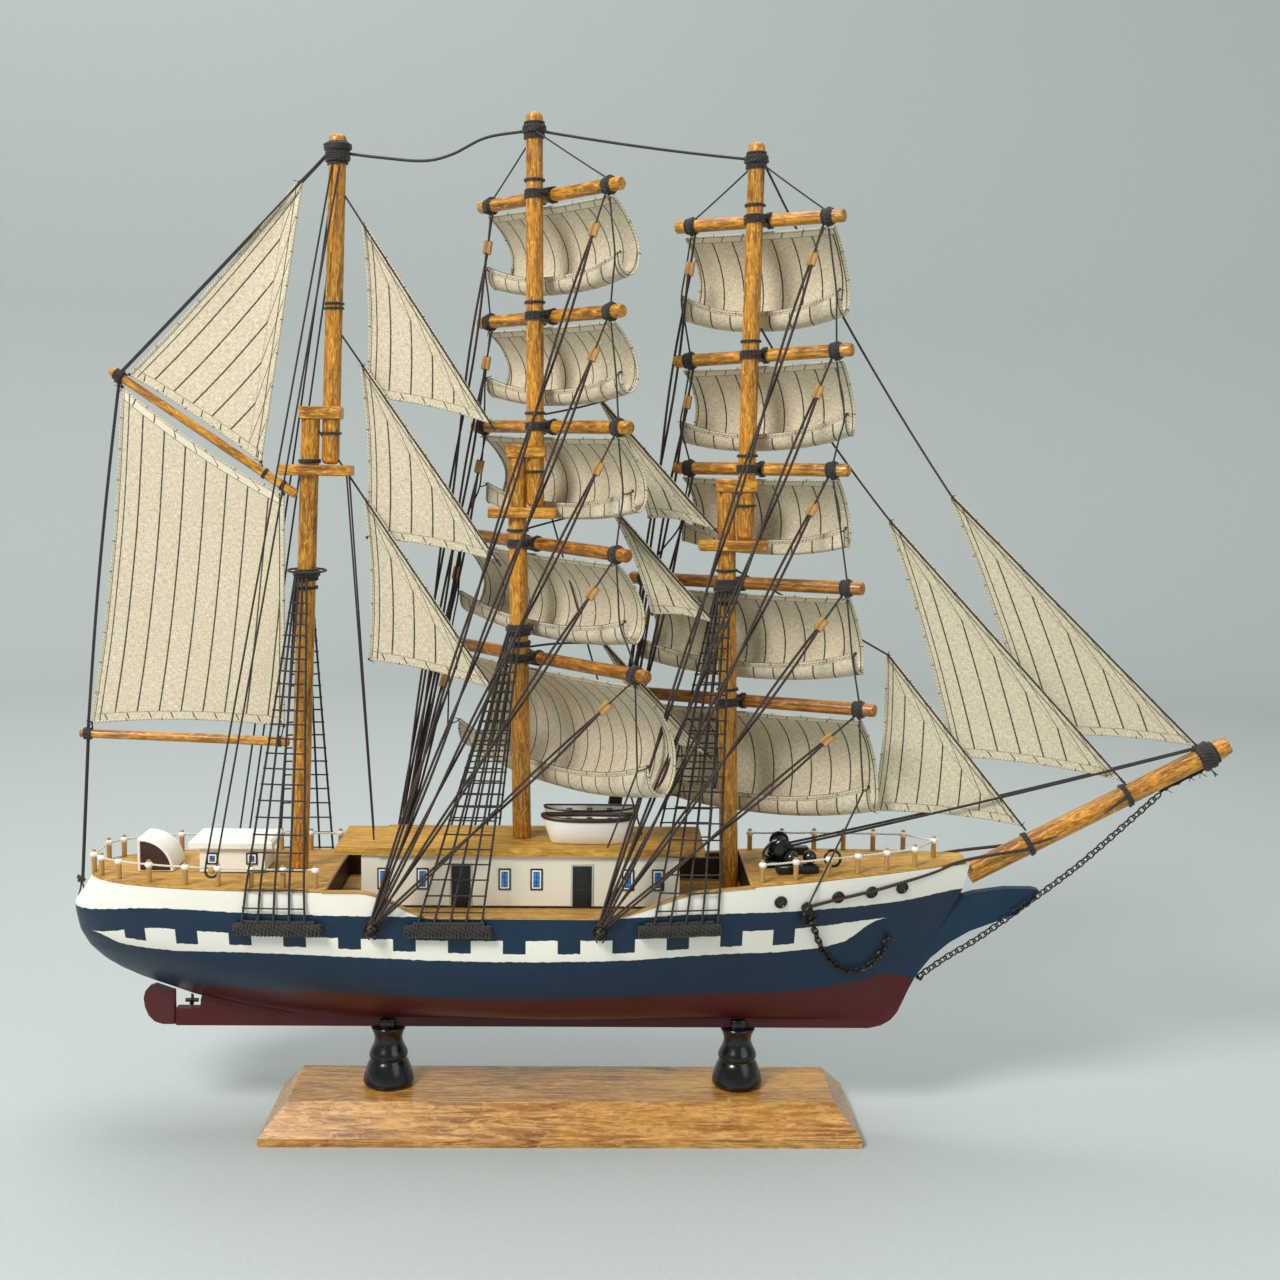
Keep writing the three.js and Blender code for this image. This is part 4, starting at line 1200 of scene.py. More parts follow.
class Mast:
    """Axis of a lower mast and its topmast, from the frame."""

    def __init__(self, name):
        co = node_points(name + "_lower_mast")
        ring = co[abs(co[:, 2] - co[:, 2].min()) < 0.6]
        self.foot = Vector((ring.max(0) + ring.min(0)) / 2)
        self.foot.z = co[:, 2].min()
        top = co[:, 2].max() - MAST_HEAD_BELOW_CAP
        self.head = V(self.foot.x + MAST_LEAN[name], 0, top)
        self.top_foot, self.top_head, self.top_low, self.top_high = bar_ends(name + "_topmast", 0.6)
        board = co[(abs(co[:, 1]) > 5.9) & (co[:, 2] < top - 8)]
        self.board = (Vector(board.min(0)), Vector(board.max(0)))
        cap = co[(abs(abs(co[:, 1]) - 4.8) < 0.05) & (co[:, 2] > top - 8)]
        self.cap = (Vector(cap.min(0)), Vector(cap.max(0)))

    def at(self, z, top):
        """Axis point at height z, on the topmast or on the lower mast."""
        low, high = (self.top_foot, self.top_head) if top else (self.foot, self.head)
        return low.lerp(high, (z - low.z) / (high.z - low.z))


def mast(name):
    """Lower mast with its crosstree board and cap, and the topmast."""
    m = MASTS[name] = Mast(name)
    shape = Shape()
    spar(shape, m.foot, m.head, LOWER_MAST_RADIUS, 3.95, dome=0.4)
    for low, high in (m.board, m.cap):
        box(shape, low, high, 0.5)
    shape.build(name + "_lower_mast_pole", [SPAR], "ship", "varnished_wood", 40, [name + "_lower_mast"])
    shape = Shape()
    spar(shape, m.top_foot, m.top_head, m.top_low, m.top_high, dome=2.2)
    shape.build(name + "_topmast_pole", [SPAR], "ship", "varnished_wood", 40, [name + "_topmast"])


BOWSPRIT_LENGTH = 128.2
BOWSPRIT_HEEL_RADIUS = 4.7
BOWSPRIT_TIP_RADIUS = 4.4


def bowsprit_line():
    co = node_points("bowsprit")
    direction = V(113.7, 0, 59.1).normalized()
    run = co @ np.array(direction)
    tip_ring = co[run > run.max() - 0.05]
    tip = Vector((tip_ring.max(0) + tip_ring.min(0)) / 2)
    return tip, direction


def bowsprit():
    """Round bowsprit, cut off flat where its heel meets the stem."""
    tip, way = bowsprit_line()
    low, _ = box_mm("bowsprit")
    start = tip - way * BOWSPRIT_LENGTH
    shape = Shape()
    sides, rings = 40, 34
    points, grain = [], []
    u = way.cross(V(0, 1, 0)).normalized()
    w = V(0, 1, 0)
    for i in range(rings + 1):
        t = i / rings
        radius = mix(BOWSPRIT_HEEL_RADIUS, BOWSPRIT_TIP_RADIUS, t) * (0.84 if i == rings else 1)
        centre = start + way * (BOWSPRIT_LENGTH * t)
        for angle in circle(sides):
            p = centre + u * (radius * math.cos(angle)) + w * (radius * math.sin(angle))
            points.append(p)
            grain.append(V(BOWSPRIT_LENGTH * t, radius * math.cos(angle), radius * math.sin(angle)))
    shape.add(points, rings_faces(rings + 1, sides, False), grain)
    piece = shape.build("bowsprit_pole", [SPAR], None, "varnished_wood", 40, ["bowsprit"])
    work = bmesh.new()
    work.from_mesh(piece.data)
    geometry = work.verts[:] + work.edges[:] + work.faces[:]
    cut = bmesh.ops.bisect_plane(work, geom=geometry, plane_co=V(low.x - 0.4, 0, 0) * MM,
                                 plane_no=V(-1, 0, 0), clear_outer=True)
    rim = [e for e in cut["geom_cut"] if isinstance(e, bmesh.types.BMEdge)]
    bmesh.ops.contextual_create(work, geom=rim)
    work.to_mesh(piece.data)
    work.free()
    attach(piece, "ship")


def boom_and_gaff():
    for node in ("spanker_boom", "spanker_gaff"):
        start, end, r0, r1 = bar_ends(node)
        shape = Shape()
        spar(shape, start, end, r0, r1, dome=0.8)
        shape.build(node + "_pole", [SPAR], "spanker", "varnished_wood", 40, [node])


# ---------- square sails and their yards ----------
YARD_NAMES = ("royal", "topgallant", "upper_topsail", "lower_topsail", "course")
YARDS_ON_TOPMAST = 3
LASHING_INSET = 7.5
PENDANT_INSET = 9.5
BELLY = [(0, 0), (0.13, -0.1), (0.27, -0.27), (0.36, -0.48), (0.385, -0.68), (0.35, -0.85), (0.27, -0.96),
         (0.19, -1), (0.10, -0.955), (0.06, -0.87), (0.055, -0.77)]
CROSSTREE_CLEAR = 4.8
# How far the course sails' sides stand off forward, so that they keep clear of the shrouds and braces.
COURSE_TO_PORT = 4.5
COURSE_TO_STARBOARD = 2.2
YARDS = {}


class Yard:
    """Axis of a yard: along runs to its starboard end, forward away from the mast."""

    def __init__(self, mast_name, name):
        node = f"{mast_name}_{name}_yard"
        a, b, self.radius, _ = bar_ends(node)
        self.port, self.starboard = (a, b) if a.y > b.y else (b, a)
        self.centre = (a + b) / 2
        self.length = (b - a).length
        self.along = (self.starboard - self.port).normalized()
        self.forward = V(-self.along.y, self.along.x, 0).normalized()
        if self.forward.x < 0:
            self.forward = -self.forward
        low, high = box_mm(f"{mast_name}_{name}_sail")
        self.drop = high.z - low.z - abs(self.along.z) * self.length * 0.9
        self.body = mast_name + "_yards"
        self.node = node

    def inset(self, distance):
        """Share of the half length at a distance in from the end."""
        return 1 - distance / (self.length / 2)

    def on(self, share, out=0.0, down=0.0):
        """Point at share (-1 port to 1 starboard) of the half length."""
        return self.centre + self.along * (share * self.length / 2) + self.forward * out - UP * down


def cloth_piece(name, rows, grain, run, rim, body, nodes):
    """Thin closed sheet over a grid of points."""
    high, wide = len(rows), len(rows[0])

    def at(i, j):
        return rows[clamp(i, 0, high - 1)][clamp(j, 0, wide - 1)]

    front, back = [], []
    for i in range(high):
        for j in range(wide):
            across = at(i, j + 1) - at(i, j - 1)
            normal = across.cross(at(i + 1, j) - at(i - 1, j)).normalized() * (CLOTH / 2)
            front.append(rows[i][j] + normal)
            back.append(rows[i][j] - normal)
    shift = high * wide
    faces = []
    for i in range(high - 1):
        for j in range(wide - 1):
            a = i * wide + j
            faces.append((a, a + 1, a + wide + 1, a + wide))
            faces.append((shift + a, shift + a + wide, shift + a + wide + 1, shift + a + 1))
    border = list(range(wide)) + [i * wide + wide - 1 for i in range(1, high)]
    border += [(high - 1) * wide + j for j in range(wide - 2, -1, -1)]
    border += [i * wide for i in range(high - 2, 0, -1)]
    for a, b in zip(border, border[1:] + border[:1]):
        faces.append((a, shift + a, shift + b, b))
    shape = Shape()
    flat_grain = [g for row in grain for g in row]
    shape.add(front + back, faces, flat_grain + flat_grain)
    mesh_piece = shape.build(name, [LINEN], None, "linen", 60, nodes)
    for field, values in (("run", run), ("rim", rim)):
        once = [v for row in values for v in row]
        write_vectors(mesh_piece.data, field, once + once)
    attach(mesh_piece, body)
    for i in range(high - 1):
        for j in range(wide - 1):
            a, b, c, d = rows[i][j], rows[i][j + 1], rows[i + 1][j + 1], rows[i + 1][j]


def border_rope(name, edges, body, seed, ties=(), knots=(), drawstring=None):
    """Bolt rope sewn round a sail, its dark whipping stitches, and knots at its corners."""
    shape = Shape()
    for edge, radius in edges:
        tube(shape, edge, radius, 7, 0)
        run = 0.0
        for a, b in zip(edge, edge[1:]):
            run += (b - a).length
            if run > 13 and radius > 0.3:
                run = 0.0
                coil(shape, b, b - a, radius, 0.4, 0.11, 1)
    if drawstring:
        tube(shape, drawstring, 0.3, 6, 1)
    for spot in knots:
        knot(shape, spot, 0.9, seed, 1)
        seed += 1
    for a, b in ties:
        tube(shape, straight(a, b, 3, 0.3), 0.3, 6, 1)
    return shape.build(name, [BOLT_ROPE, BLACK_THREAD], body, "linen")


def square_sail(mast_name, name, yard):
    """Sail that hangs from its yard, bellies forward, and curls back up along its foot to tied corners."""
    node = f"{mast_name}_{name}_sail"
    line = spline([V(reach, 0, fall) for reach, fall in BELLY], 4)
    wide = 41
    lengths = [0.0]
    for a, b in zip(line, line[1:]):
        lengths.append(lengths[-1] + (b - a).length * yard.drop)
    total = lengths[-1]
    draw = random.Random(node)
    phase = [draw.uniform(0, 6.28) for _ in range(4)]
    shares = [-1 + 2 * j / (wide - 1) for j in range(wide)]
    rows, grain, run, rim = [], [], [], []
    for i, p in enumerate(line):
        t = lengths[i] / total
        half = yard.length / 2 * mix(0.89, 0.95, -p.z) * (1 - 0.035 * math.sin(math.pi * min(1, t * 1.25)))
        row = []
        for s in shares:
            foot_pull = smooth((t - 0.66) / 0.34)
            lift = foot_pull * (0.03 * abs(s) ** 3 - 0.08 * (1 - s * s))
            lift += 0.10 * smooth((t - 0.2) / 0.4) * abs(s) ** 2.4
            slack = smooth((t - 0.1) / 0.4) * 0.05 * (1 - s ** 4)
            fold = 0.35 * math.sin(s * 9 + phase[0] + 3 * t) * math.sin(math.pi * t)
            reach = p.x * (1 - 0.05 * s ** 4) + slack * 0.4
            if name == "course":
                reach += mix(COURSE_TO_PORT, COURSE_TO_STARBOARD, (1 + s) / 2) / yard.drop * smooth(t / 0.3)
            if name == "upper_topsail" and t > 0.5:
                reach = max(reach, CROSSTREE_CLEAR / yard.drop)
            down = p.z + lift - 0.03
            top = -yard.radius - CLOTH / 2 - 0.25 - 0.5 * (1 - s * s) * (1 - t)
            row.append(yard.centre + yard.along * (s * half) + yard.forward * (reach * yard.drop + fold)
                       + UP * (top + down * (yard.drop + top)))
        rows.append(row)
        grain.append([V(s * half, lengths[i], 0) for s in shares])
        run.append([V(STRIPES_BEFORE * STRIPE_PITCH + s * half, NO_EDGE, total - lengths[i] + 2.2)
                    for s in shares])
        rim.append([V(lengths[i], 2.4 + (1 - abs(s)) * half, 0) for s in shares])
    sides = [[row[0] for row in rows], [row[-1] for row in rows]]
    foot = rows[-1]
    corners = [foot[0], foot[-1]]
    ties = []
    for corner, end in zip(corners, (-1, 1)):
        pull = yard.on(end * 0.925)
        pull.z = corner.z - 1.2
        ties.append((corner, pull))
    edges = [(sides[0], 0.55), (sides[1], 0.55), (foot, 0.62), (rows[0], 0.4)]
    drawstring = [p + yard.forward * 0.35 + UP * 0.5 for p in foot]
    ropes = border_rope(node + "_ropes", edges, yard.body, len(node) * 7, ties, corners, drawstring)
    cloth_piece(node + "_cloth", rows, grain, run, rim, yard.body,
                [node])
    yard.tie_ends = [t[1] for t in ties]


def yard_set(mast_name):
    """The five yards of one mast with their lashings and sails."""
    mast_axis = MASTS[mast_name]
    yards = YARDS[mast_name] = []
    for i, name in enumerate(YARD_NAMES):
        yard = Yard(mast_name, name)
        yard.top = i < YARDS_ON_TOPMAST
        yards.append(yard)
        shape = Shape()
        spar(shape, yard.port, yard.starboard, yard.radius, yard.radius)
        varnish = SPAR if yard.top else DARK_SPAR
        shape.build(yard.node + "_pole", [varnish], yard.body, "varnished_wood", 40, [yard.node])
        lash = Shape()
        for end in (-1, 1):
            place = yard.on(end * yard.inset(LASHING_INSET))
            coil(lash, place, yard.along, yard.radius, 5.6)
            coil(lash, place + yard.along * 0.5, yard.along, yard.radius + 0.5, 2.4)
            knot(lash, place - UP * (yard.radius + 0.8), 1.0, i * 10 + end + 3)
        crossing(lash, mast_axis, yard)
        lash.build(yard.node + "_lashings", [BLACK_THREAD], yard.body, "dark_metal")
        square_sail(mast_name, name, yard)


def crossing(shape, mast_axis, yard):
    """Turns of thread round the mast and round the yard on both sides of it, joined by short spans."""
    mast_radius = TOPMAST_RADIUS if yard.top else LOWER_MAST_RADIUS
    at = mast_axis.at(yard.centre.z, yard.top)
    spot = yard.centre + yard.along * (at - yard.centre).dot(yard.along)
    coil(shape, at, UP, mast_radius, 4.4, 0.44)
    coil(shape, mast_axis.at(at.z + 5.6, yard.top), UP, mast_radius, 1.8)
    for end in (-1, 1):
        beside = spot + yard.along * (end * (mast_radius + 0.2))
        coil(shape, beside, yard.along, yard.radius, 2.8, 0.44)
        for k in (-1, 0, 1):
            low = at + yard.along * (end * (mast_radius + 0.4)) - yard.forward * 1.5 + UP * (k * 1.1)
            high = beside + UP * ((1 if k > -1 else -1) * (yard.radius + 0.5)) + yard.along * (k * 0.7)
            tube(shape, spline([low, low.lerp(high, 0.5) + yard.along * (end * 0.8), high], 4), 0.40, 6)


# ---------- fore-and-aft sails ----------
def distance(p, a, b):
    """How far p is from the line through a and b."""
    way = (b - a).normalized()
    return ((p - a) - way * (p - a).dot(way)).length


def fore_and_aft(node, leech, luff, body, hollow, camber, three, knots=()):
    """Sail between a leech and a luff, each (top, bottom), with hollow edges and a slight belly."""
    top_width = (luff[0] - leech[0]).length
    high, wide = 34, 34
    normal = (luff[1] - leech[0]).cross(leech[1] - leech[0]).normalized()
    if normal.y < 0:
        normal = -normal
    foot_way = (luff[1] - leech[1]).normalized()
    draw = random.Random(node)
    phase = draw.uniform(0, 6.28)
    rows, grain, run, rim = [], [], [], []
    for i in range(high):
        t = i / (high - 1)
        a = leech[0].lerp(leech[1], t)
        b = luff[0].lerp(luff[1], t)
        row, g_row, r_row, m_row = [], [], [], []
        for j in range(wide):
            s = j / (wide - 1)
            flat_point = a.lerp(b, s)
            p = flat_point.copy()
            p += foot_way * (hollow * 4 * t * (1 - t) * (1 - s))
            p += UP * (hollow * 0.9 * 4 * s * (1 - s) * t ** 6)
            if not three:
                p -= UP * (hollow * 1.5 * 4 * s * (1 - s) * (1 - t) ** 6)
            belly = camber * 4 * s * (1 - s) * math.sin(math.pi * min(1.0, 0.12 + t * 0.8))
            ripple = 0.25 * math.sin(t * 17 + phase) * (1 - s) ** 3
            ripple += 0.25 * math.sin(t * 23 + phase) * s ** 4
            p += normal * (belly + ripple)
            row.append(p)
            from_leech = distance(flat_point, *leech) if three or i else s * top_width
            g_row.append(V(from_leech, t * (leech[1] - leech[0]).length, 0))
            luff_gap = distance(flat_point, *luff) if three else NO_EDGE
            head_gap = NO_EDGE if three else distance(flat_point, leech[0], luff[0])
            hem = distance(flat_point, *leech)
            if not three:
                hem = min(hem, distance(flat_point, *luff) + 1.6)
            r_row.append(V(from_leech, luff_gap, distance(flat_point, leech[1], luff[1])))
            m_row.append(V(head_gap, hem, 0))
        rows.append(row)
        grain.append(g_row)
        run.append(r_row)
        rim.append(m_row)
    edges = [([r[0] for r in rows], 0.5), ([r[-1] for r in rows], 0.5), (rows[-1], 0.5), (rows[0], 0.4)]
    ropes = border_rope(node + "_ropes", edges, body, len(node) * 13, (), knots)
    length = (luff[1] - luff[0]).length * 1.02
    if not three:
        length = max(length, (leech[1] - leech[0]).length * 1.02)
    cloth_piece(node + "_cloth", rows, grain, run, rim, body, [node])


def staysail(node, body="ship", hollow=2.0, camber=1.6):
    """Three-cornered sail: its luff runs from the head to the forward corner."""
    corners = corners_of(node, 3)
    head = max(corners, key=lambda c: c.z)
    rest = [c for c in corners if c is not head]
    tack = max(rest, key=lambda c: c.x)
    clew = min(rest, key=lambda c: c.x)
    cut = (tack - clew).normalized() * 1.6
    fore_and_aft(node, (head - cut * 0.5, clew), (head + cut * 0.5, tack), body, hollow, camber, True,
                 [head, tack, clew])
    return head, tack


def spanker():
    """Four-cornered spanker below its gaff, and the gaff topsail above it."""
    corners = sorted(corners_of("spanker_sail", 4), key=lambda c: c.x)
    aft = sorted(corners[:2], key=lambda c: -c.z)
    fore = sorted(corners[2:], key=lambda c: -c.z)
    fore_and_aft("spanker_sail", aft, fore, "spanker", 2.4, 2.2, False, aft + fore)
    staysail("gaff_topsail", "spanker", 1.6, 1.2)
    gaff_end, gaff_jaw = sorted(bar_ends("spanker_gaff")[:2], key=lambda p: p.x)
    boom_end, boom_jaw = sorted(bar_ends("spanker_boom")[:2], key=lambda p: p.x)
    topsail = sorted(corners_of("gaff_topsail", 3), key=lambda c: c.z)
    shape = Shape()
    gaff_way = (gaff_jaw - gaff_end).normalized()
    boom_way = (boom_jaw - boom_end).normalized()
    outer_gaff = gaff_end + gaff_way * 4.5
    outer_boom = boom_end + boom_way * 3.5
    coil(shape, outer_gaff, gaff_way, 1.9, 5.0)
    coil(shape, outer_gaff + gaff_way * 0.5, gaff_way, 2.6, 2.6, 0.4)
    coil(shape, outer_boom, boom_way, 2.0, 4.0)
    leech = straight(outer_gaff - UP * 2, outer_boom + UP * 2, 12)
    for shift in (-0.45, 0.45):
        bowed = [p + V(-1.2 * math.sin(math.pi * i / 12), shift, 0) for i, p in enumerate(leech)]
        tube(shape, bowed, 0.55, 7)
    ties = [(aft[0], outer_gaff), (fore[0], gaff_jaw - gaff_way * 7), (aft[1], outer_boom + boom_way * 2),
            (fore[1], boom_jaw - boom_way * 4), (topsail[1], outer_gaff),
            (topsail[0], gaff_jaw - gaff_way * 16)]
    for a, b in ties:
        for shift in (-0.35, 0.35):
            tube(shape, straight(a + V(0, shift, 0), b + V(0, shift * 2, 0), 3, 0.2), 0.24, 6)
    for place, way in ((gaff_jaw - gaff_way * 16, gaff_way), (gaff_jaw - gaff_way * 7, gaff_way),
                       (boom_jaw - boom_way * 4, boom_way)):
        coil(shape, place, way, 2.0, 2.0, 0.3)
    shape.build("spanker_lines", [BLACK_THREAD], "spanker", "dark_metal")
    return outer_gaff, outer_boom, topsail[2]


# ---------- rigging ----------
def lines(name, paths, radius, body, material, sides=6):
    """Cords of one thickness, as one piece."""
    shape = Shape()
    for path in paths:
        tube(shape, path, radius, sides)
    shape.build(name, [material], body, "dark_metal")


def shroud_net(name, side):
    """Shrouds from the mast to their channel, crossed by ratlines that are knotted to every shroud."""
    _, (low_x, high_x), apex_z = SHROUDS[name]
    m = MASTS[name]
    feet = [on_side(mix(low_x, high_x, i / 4), CHANNEL_HEIGHT, side, 2.4) + UP * 1.2 for i in range(5)]
    heads = []
    for i in range(5):
        axis = m.at(apex_z, False)
        angle = math.radians(-70 + 20 * i)
        heads.append(axis + V(4.9 * math.sin(angle), side * 4.9 * math.cos(angle), 0))
    bends = []
    for foot, head in zip(feet, heads):
        edge = sheer(foot.x) + 1.2
        x = mix(foot.x, head.x, (edge - foot.z) / (head.z - foot.z))
        bends.append(V(x, side * (top_half(foot.x) + 1.0), edge))
    shape = Shape()
    for foot, bend, head in zip(feet, bends, heads):
        tube(shape, [foot, foot.lerp(bend, 0.5)] + straight(bend, head, 8, 0.1), 0.5, 7)

    def on_shroud(i, share):
        """Point on a shroud at a share of the height from its foot to its head."""
        height = mix(feet[i].z, heads[i].z, share)
        if height < bends[i].z:
            return feet[i].lerp(bends[i], (height - feet[i].z) / (bends[i].z - feet[i].z))
        return bends[i].lerp(heads[i], (height - bends[i].z) / (heads[i].z - bends[i].z))

    share = 0.055
    step = 0.054
    while share < 0.93:
        row = [on_shroud(i, share) for i in range(5)]
        over = 0.6
        first = row[0] + (row[0] - row[1]).normalized() * over
        last = row[-1] + (row[-1] - row[-2]).normalized() * over
        tube(shape, [p + V(0, side * 0.35, 0) for p in (first, *row, last)], 0.38, 6)
        for p in row:
            ball(shape, p + V(0, side * 0.3, 0), 0.72, 0, 6)
        share += step
        step *= 0.972
    shape.build(f"{name}_shrouds_{dict(SIDES)[side]}", [BLACK_THREAD], "ship", "dark_metal", 60)


# Layers of thread at a topmast's head: distance below the head, thickness under it, and width.
MIZZEN_HEAD_WRAP = ((8.0, 0.1, 10.5), (7.6, 0.9, 8.5), (5.4, 1.5, 3.4))
HEAD_WRAP = ((7.6, 0.1, 8.0), (7.2, 0.8, 3.6))


def mast_wraps():
    """Thread wound round the masts where stays and shrouds end."""
    shape = Shape()
    for name, m in MASTS.items():
        apex = SHROUDS[name][2]
        for rise, extra, width in ((0, 0.2, 6.0), (0.6, 1.0, 3.2), (-5.5, 0.2, 2.0)):
            coil(shape, m.at(apex + rise, False), UP, LOWER_MAST_RADIUS + extra, width, 0.48)
        head = m.top_head
        for down, extra, width in MIZZEN_HEAD_WRAP if name == "mizzen" else HEAD_WRAP:
            coil(shape, m.at(head.z - down, True), UP, m.top_high + extra, width, 0.5)
        coil(shape, m.at(m.cap[0].z - 6, True), UP, 3.9, 1.4, 0.4)
    mizzen = MASTS["mizzen"]
    for z in (357, 359):
        coil(shape, mizzen.at(z, True), UP, 3.7, 1.4)
    coil(shape, mizzen.at(mizzen.board[1].z + 1.4, False), UP, LOWER_MAST_RADIUS, 2.4)
    shape.build("mast_wraps", [BLACK_THREAD])
    apex = mizzen.at(SHROUDS["mizzen"][2] + 1.5, False)
    ring = Shape()
    loop = [apex + V(8.2 * math.cos(a), 7.0 * math.sin(a), 0.5 + 0.5 * math.sin(a))
            for a in circle(30)]
    tube(ring, loop, 0.5, 6, 0, True)
    ring.build("mizzen_shroud_ring", [BROWN_CORD])


PINS = {"main": (-80.0, 98.6), "fore": (15.6, 97.8), "bow": (103.9, 106.0)}


def pins():
    """Round-headed pins in the hull's side, with the cords' turns below each head."""
    shape = Shape()
    for name, (x, z) in PINS.items():
        for side in (-1, 1):
            out = side_normal(x, z, side)
            root = on_side(x, z, side)
            size = 0.8 if name == "bow" else 1.25
            profile = [(0.8, -1.0), (0.85, 1.3), (1.6, 1.6), (2.2, 2.3), (2.45, 3.2), (2.3, 4.1), (1.75, 4.9),
                       (0.9, 5.3), (0.2, 5.4)]
            turned(shape, [(r * size, h * size) for r, h in profile], root, out, 24)
            coil(shape, root + out * 0.9 * size, out, 1.5 * size, 1.6, 0.42, 1)
            coil(shape, root + out * 0.6, out, 2.3 * size, 1.0, 0.42, 1)
            for k in (-1, 1):
                tail = spline([root + out * 1.2 + V(k, 0, -1.5), root + out * 1.4 + V(k * 1.8, 0, -3.4),
                               root + out * 1.0 + V(k * 1.1, 0, -5.0)], 4)
                tube(shape, tail, 0.36, 6, 1)
    shape.build("belaying_pins", [CHAIN_METAL, BLACK_THREAD])


def block(shape, centre, way, across):
    """Wooden brace block: a flat cheeked oblong with a groove round it."""
    side = way.cross(across).normalized()
    across = side.cross(way).normalized()
    turn = Matrix((side, across, way)).transposed().to_4x4()
    turn.translation = centre
    for shift in (-1, 1):
        box(shape, V(shift * 1.05 - 0.85, -1.05, -3.1), V(shift * 1.05 + 0.85, 1.05, 3.1), 0.45, 0, turn, 2)
    box(shape, V(-1.3, -0.75, -2.7), V(1.3, 0.75, 2.7), 0.2, 0, turn, 2)


PENDANT_LENGTH = 15.0
BLOCK_HALF = 2.6


def braces(mast_name, side):
    """Each yard's brace on one side: pendant, block, and a twisted pair of cords down to the pin."""
    x, z = PINS[mast_name]
    pin = on_side(x, z, side, 1.6)
    for i, (name, yard) in enumerate(zip(YARD_NAMES, YARDS[mast_name])):
        hold = yard.on(-side * yard.inset(PENDANT_INSET), -0.5, yard.radius + 0.6)
        way = (pin - hold).normalized()
        spot = hold + way * PENDANT_LENGTH
        foot = pin + V((i - 2) * 0.5, side * 0.4 * i, 0.9 + 0.2 * i)
        shape = Shape()
        across = way.cross(UP).normalized()
        for shift in (-0.4, 0.4):
            aside = across * shift
            tube(shape, straight(hold + aside, spot - way * BLOCK_HALF + aside, 3), 0.38, 6, 1)
        block(shape, spot, way, V(0, side, 0))
        start = spot + way * BLOCK_HALF
        length = (foot - start).length
        count = int(length / 6)
        for turn in (0, math.pi):
            path = []
            for k in range(count + 1):
                t = k / count
                angle = turn + t * length / 24
                apart = mix(1.25, 0.6, t)
                spread = across * math.cos(angle) + across.cross(way) * math.sin(angle)
                path.append(start.lerp(foot, t) + spread * apart - UP * (0.6 * 4 * t * (1 - t)))
            tube(shape, path, 0.58, 6, 1)
        shape.build(f"{mast_name}_{name}_brace_{dict(SIDES)[side]}", [BLOCK_WOOD, BROWN_CORD],
                    ("ship", mast_name + "_yards", foot * MM, start * MM))


def yard_cords(mast_name):
    """Cords that join the yards' ends one below another, and lifts from the masthead to the royal yard."""
    yards = YARDS[mast_name]
    paths = []
    for upper, lower in zip(yards, yards[1:]):
        for end in (-1, 1):
            a = upper.on(end * upper.inset(LASHING_INSET), 0, upper.radius)
            b = lower.on(end * lower.inset(LASHING_INSET), 0, -lower.radius)
            c = upper.tie_ends[end > 0]
            paths.append(spline([a, a.lerp(c, 0.5), c, c.lerp(b, 0.5), b], 4))
    last = yards[-1]
    for end in (-1, 1):
        a = last.on(end * last.inset(LASHING_INSET), 0, last.radius)
        c = last.tie_ends[end > 0]
        paths.append(spline([a, a.lerp(c, 0.5), c], 4))
    lines(mast_name + "_leech_cords", paths, 0.40, mast_name + "_yards", BLACK_THREAD)
    m = MASTS[mast_name]
    head = m.at(m.top_head.z - 8, True)
    for side, side_name in SIDES:
        end = yards[0].on(-side * yards[0].inset(PENDANT_INSET), 0, -yards[0].radius - 0.4)
        start = head + V(0, side * 3.9, 0)
        lines(f"{mast_name}_lift_{side_name}", [straight(start, end, 6, 0.2)], 0.36,
              ("ship", mast_name + "_yards", start * MM, end * MM), BLACK_THREAD)


# Whether the stay of each mizzen staysail ends on the topmast.
MIZZEN_STAYS = {"mizzen_upper_staysail": True, "mizzen_middle_staysail": True, "mizzen_lower_staysail": False}
# For each other stay: its mast, the height of the gap between the square sails that it leads through, and how
# far it bows out to port there.
STAY_GAPS = {"main_upper_staysail": ("main", 314.0, 10.0), "main_middle_staysail": ("main", 265.0, 10.0),
             "main_lower_staysail": ("main", 213.6, 10.0), "outer_jib": ("fore", 418.5, 16.0),
             "inner_jib": ("fore", 351.5, 16.0), "fore_topmast_staysail": ("fore", 248.0, 14.0)}
STAY_STAND_OFF = 3.9
STAY_RING_REACH = 4.2
STAY_TAIL = 3.0


def stay_parts(name):
    """Makes one sail, and gives its stay as (top, foot, bow to port) parts."""
    head, tack = staysail(name, "ship")
    way = (head - tack).normalized()
    low_end = tack - way * STAY_TAIL
    if name in MIZZEN_STAYS:
        mast_x = MASTS["mizzen"].at(head.z, MIZZEN_STAYS[name]).x
        return [(head + way * ((head.x - mast_x - STAY_STAND_OFF) / -way.x), low_end, 0.0)]
    mast_name, gap, bow_out = STAY_GAPS[name]
    m = MASTS[mast_name]
    ring = m.at(gap, gap > m.cap[0].z) + V(STAY_RING_REACH, 0, 0)
    return [(ring, head, bow_out), (head, low_end, 0.0)]


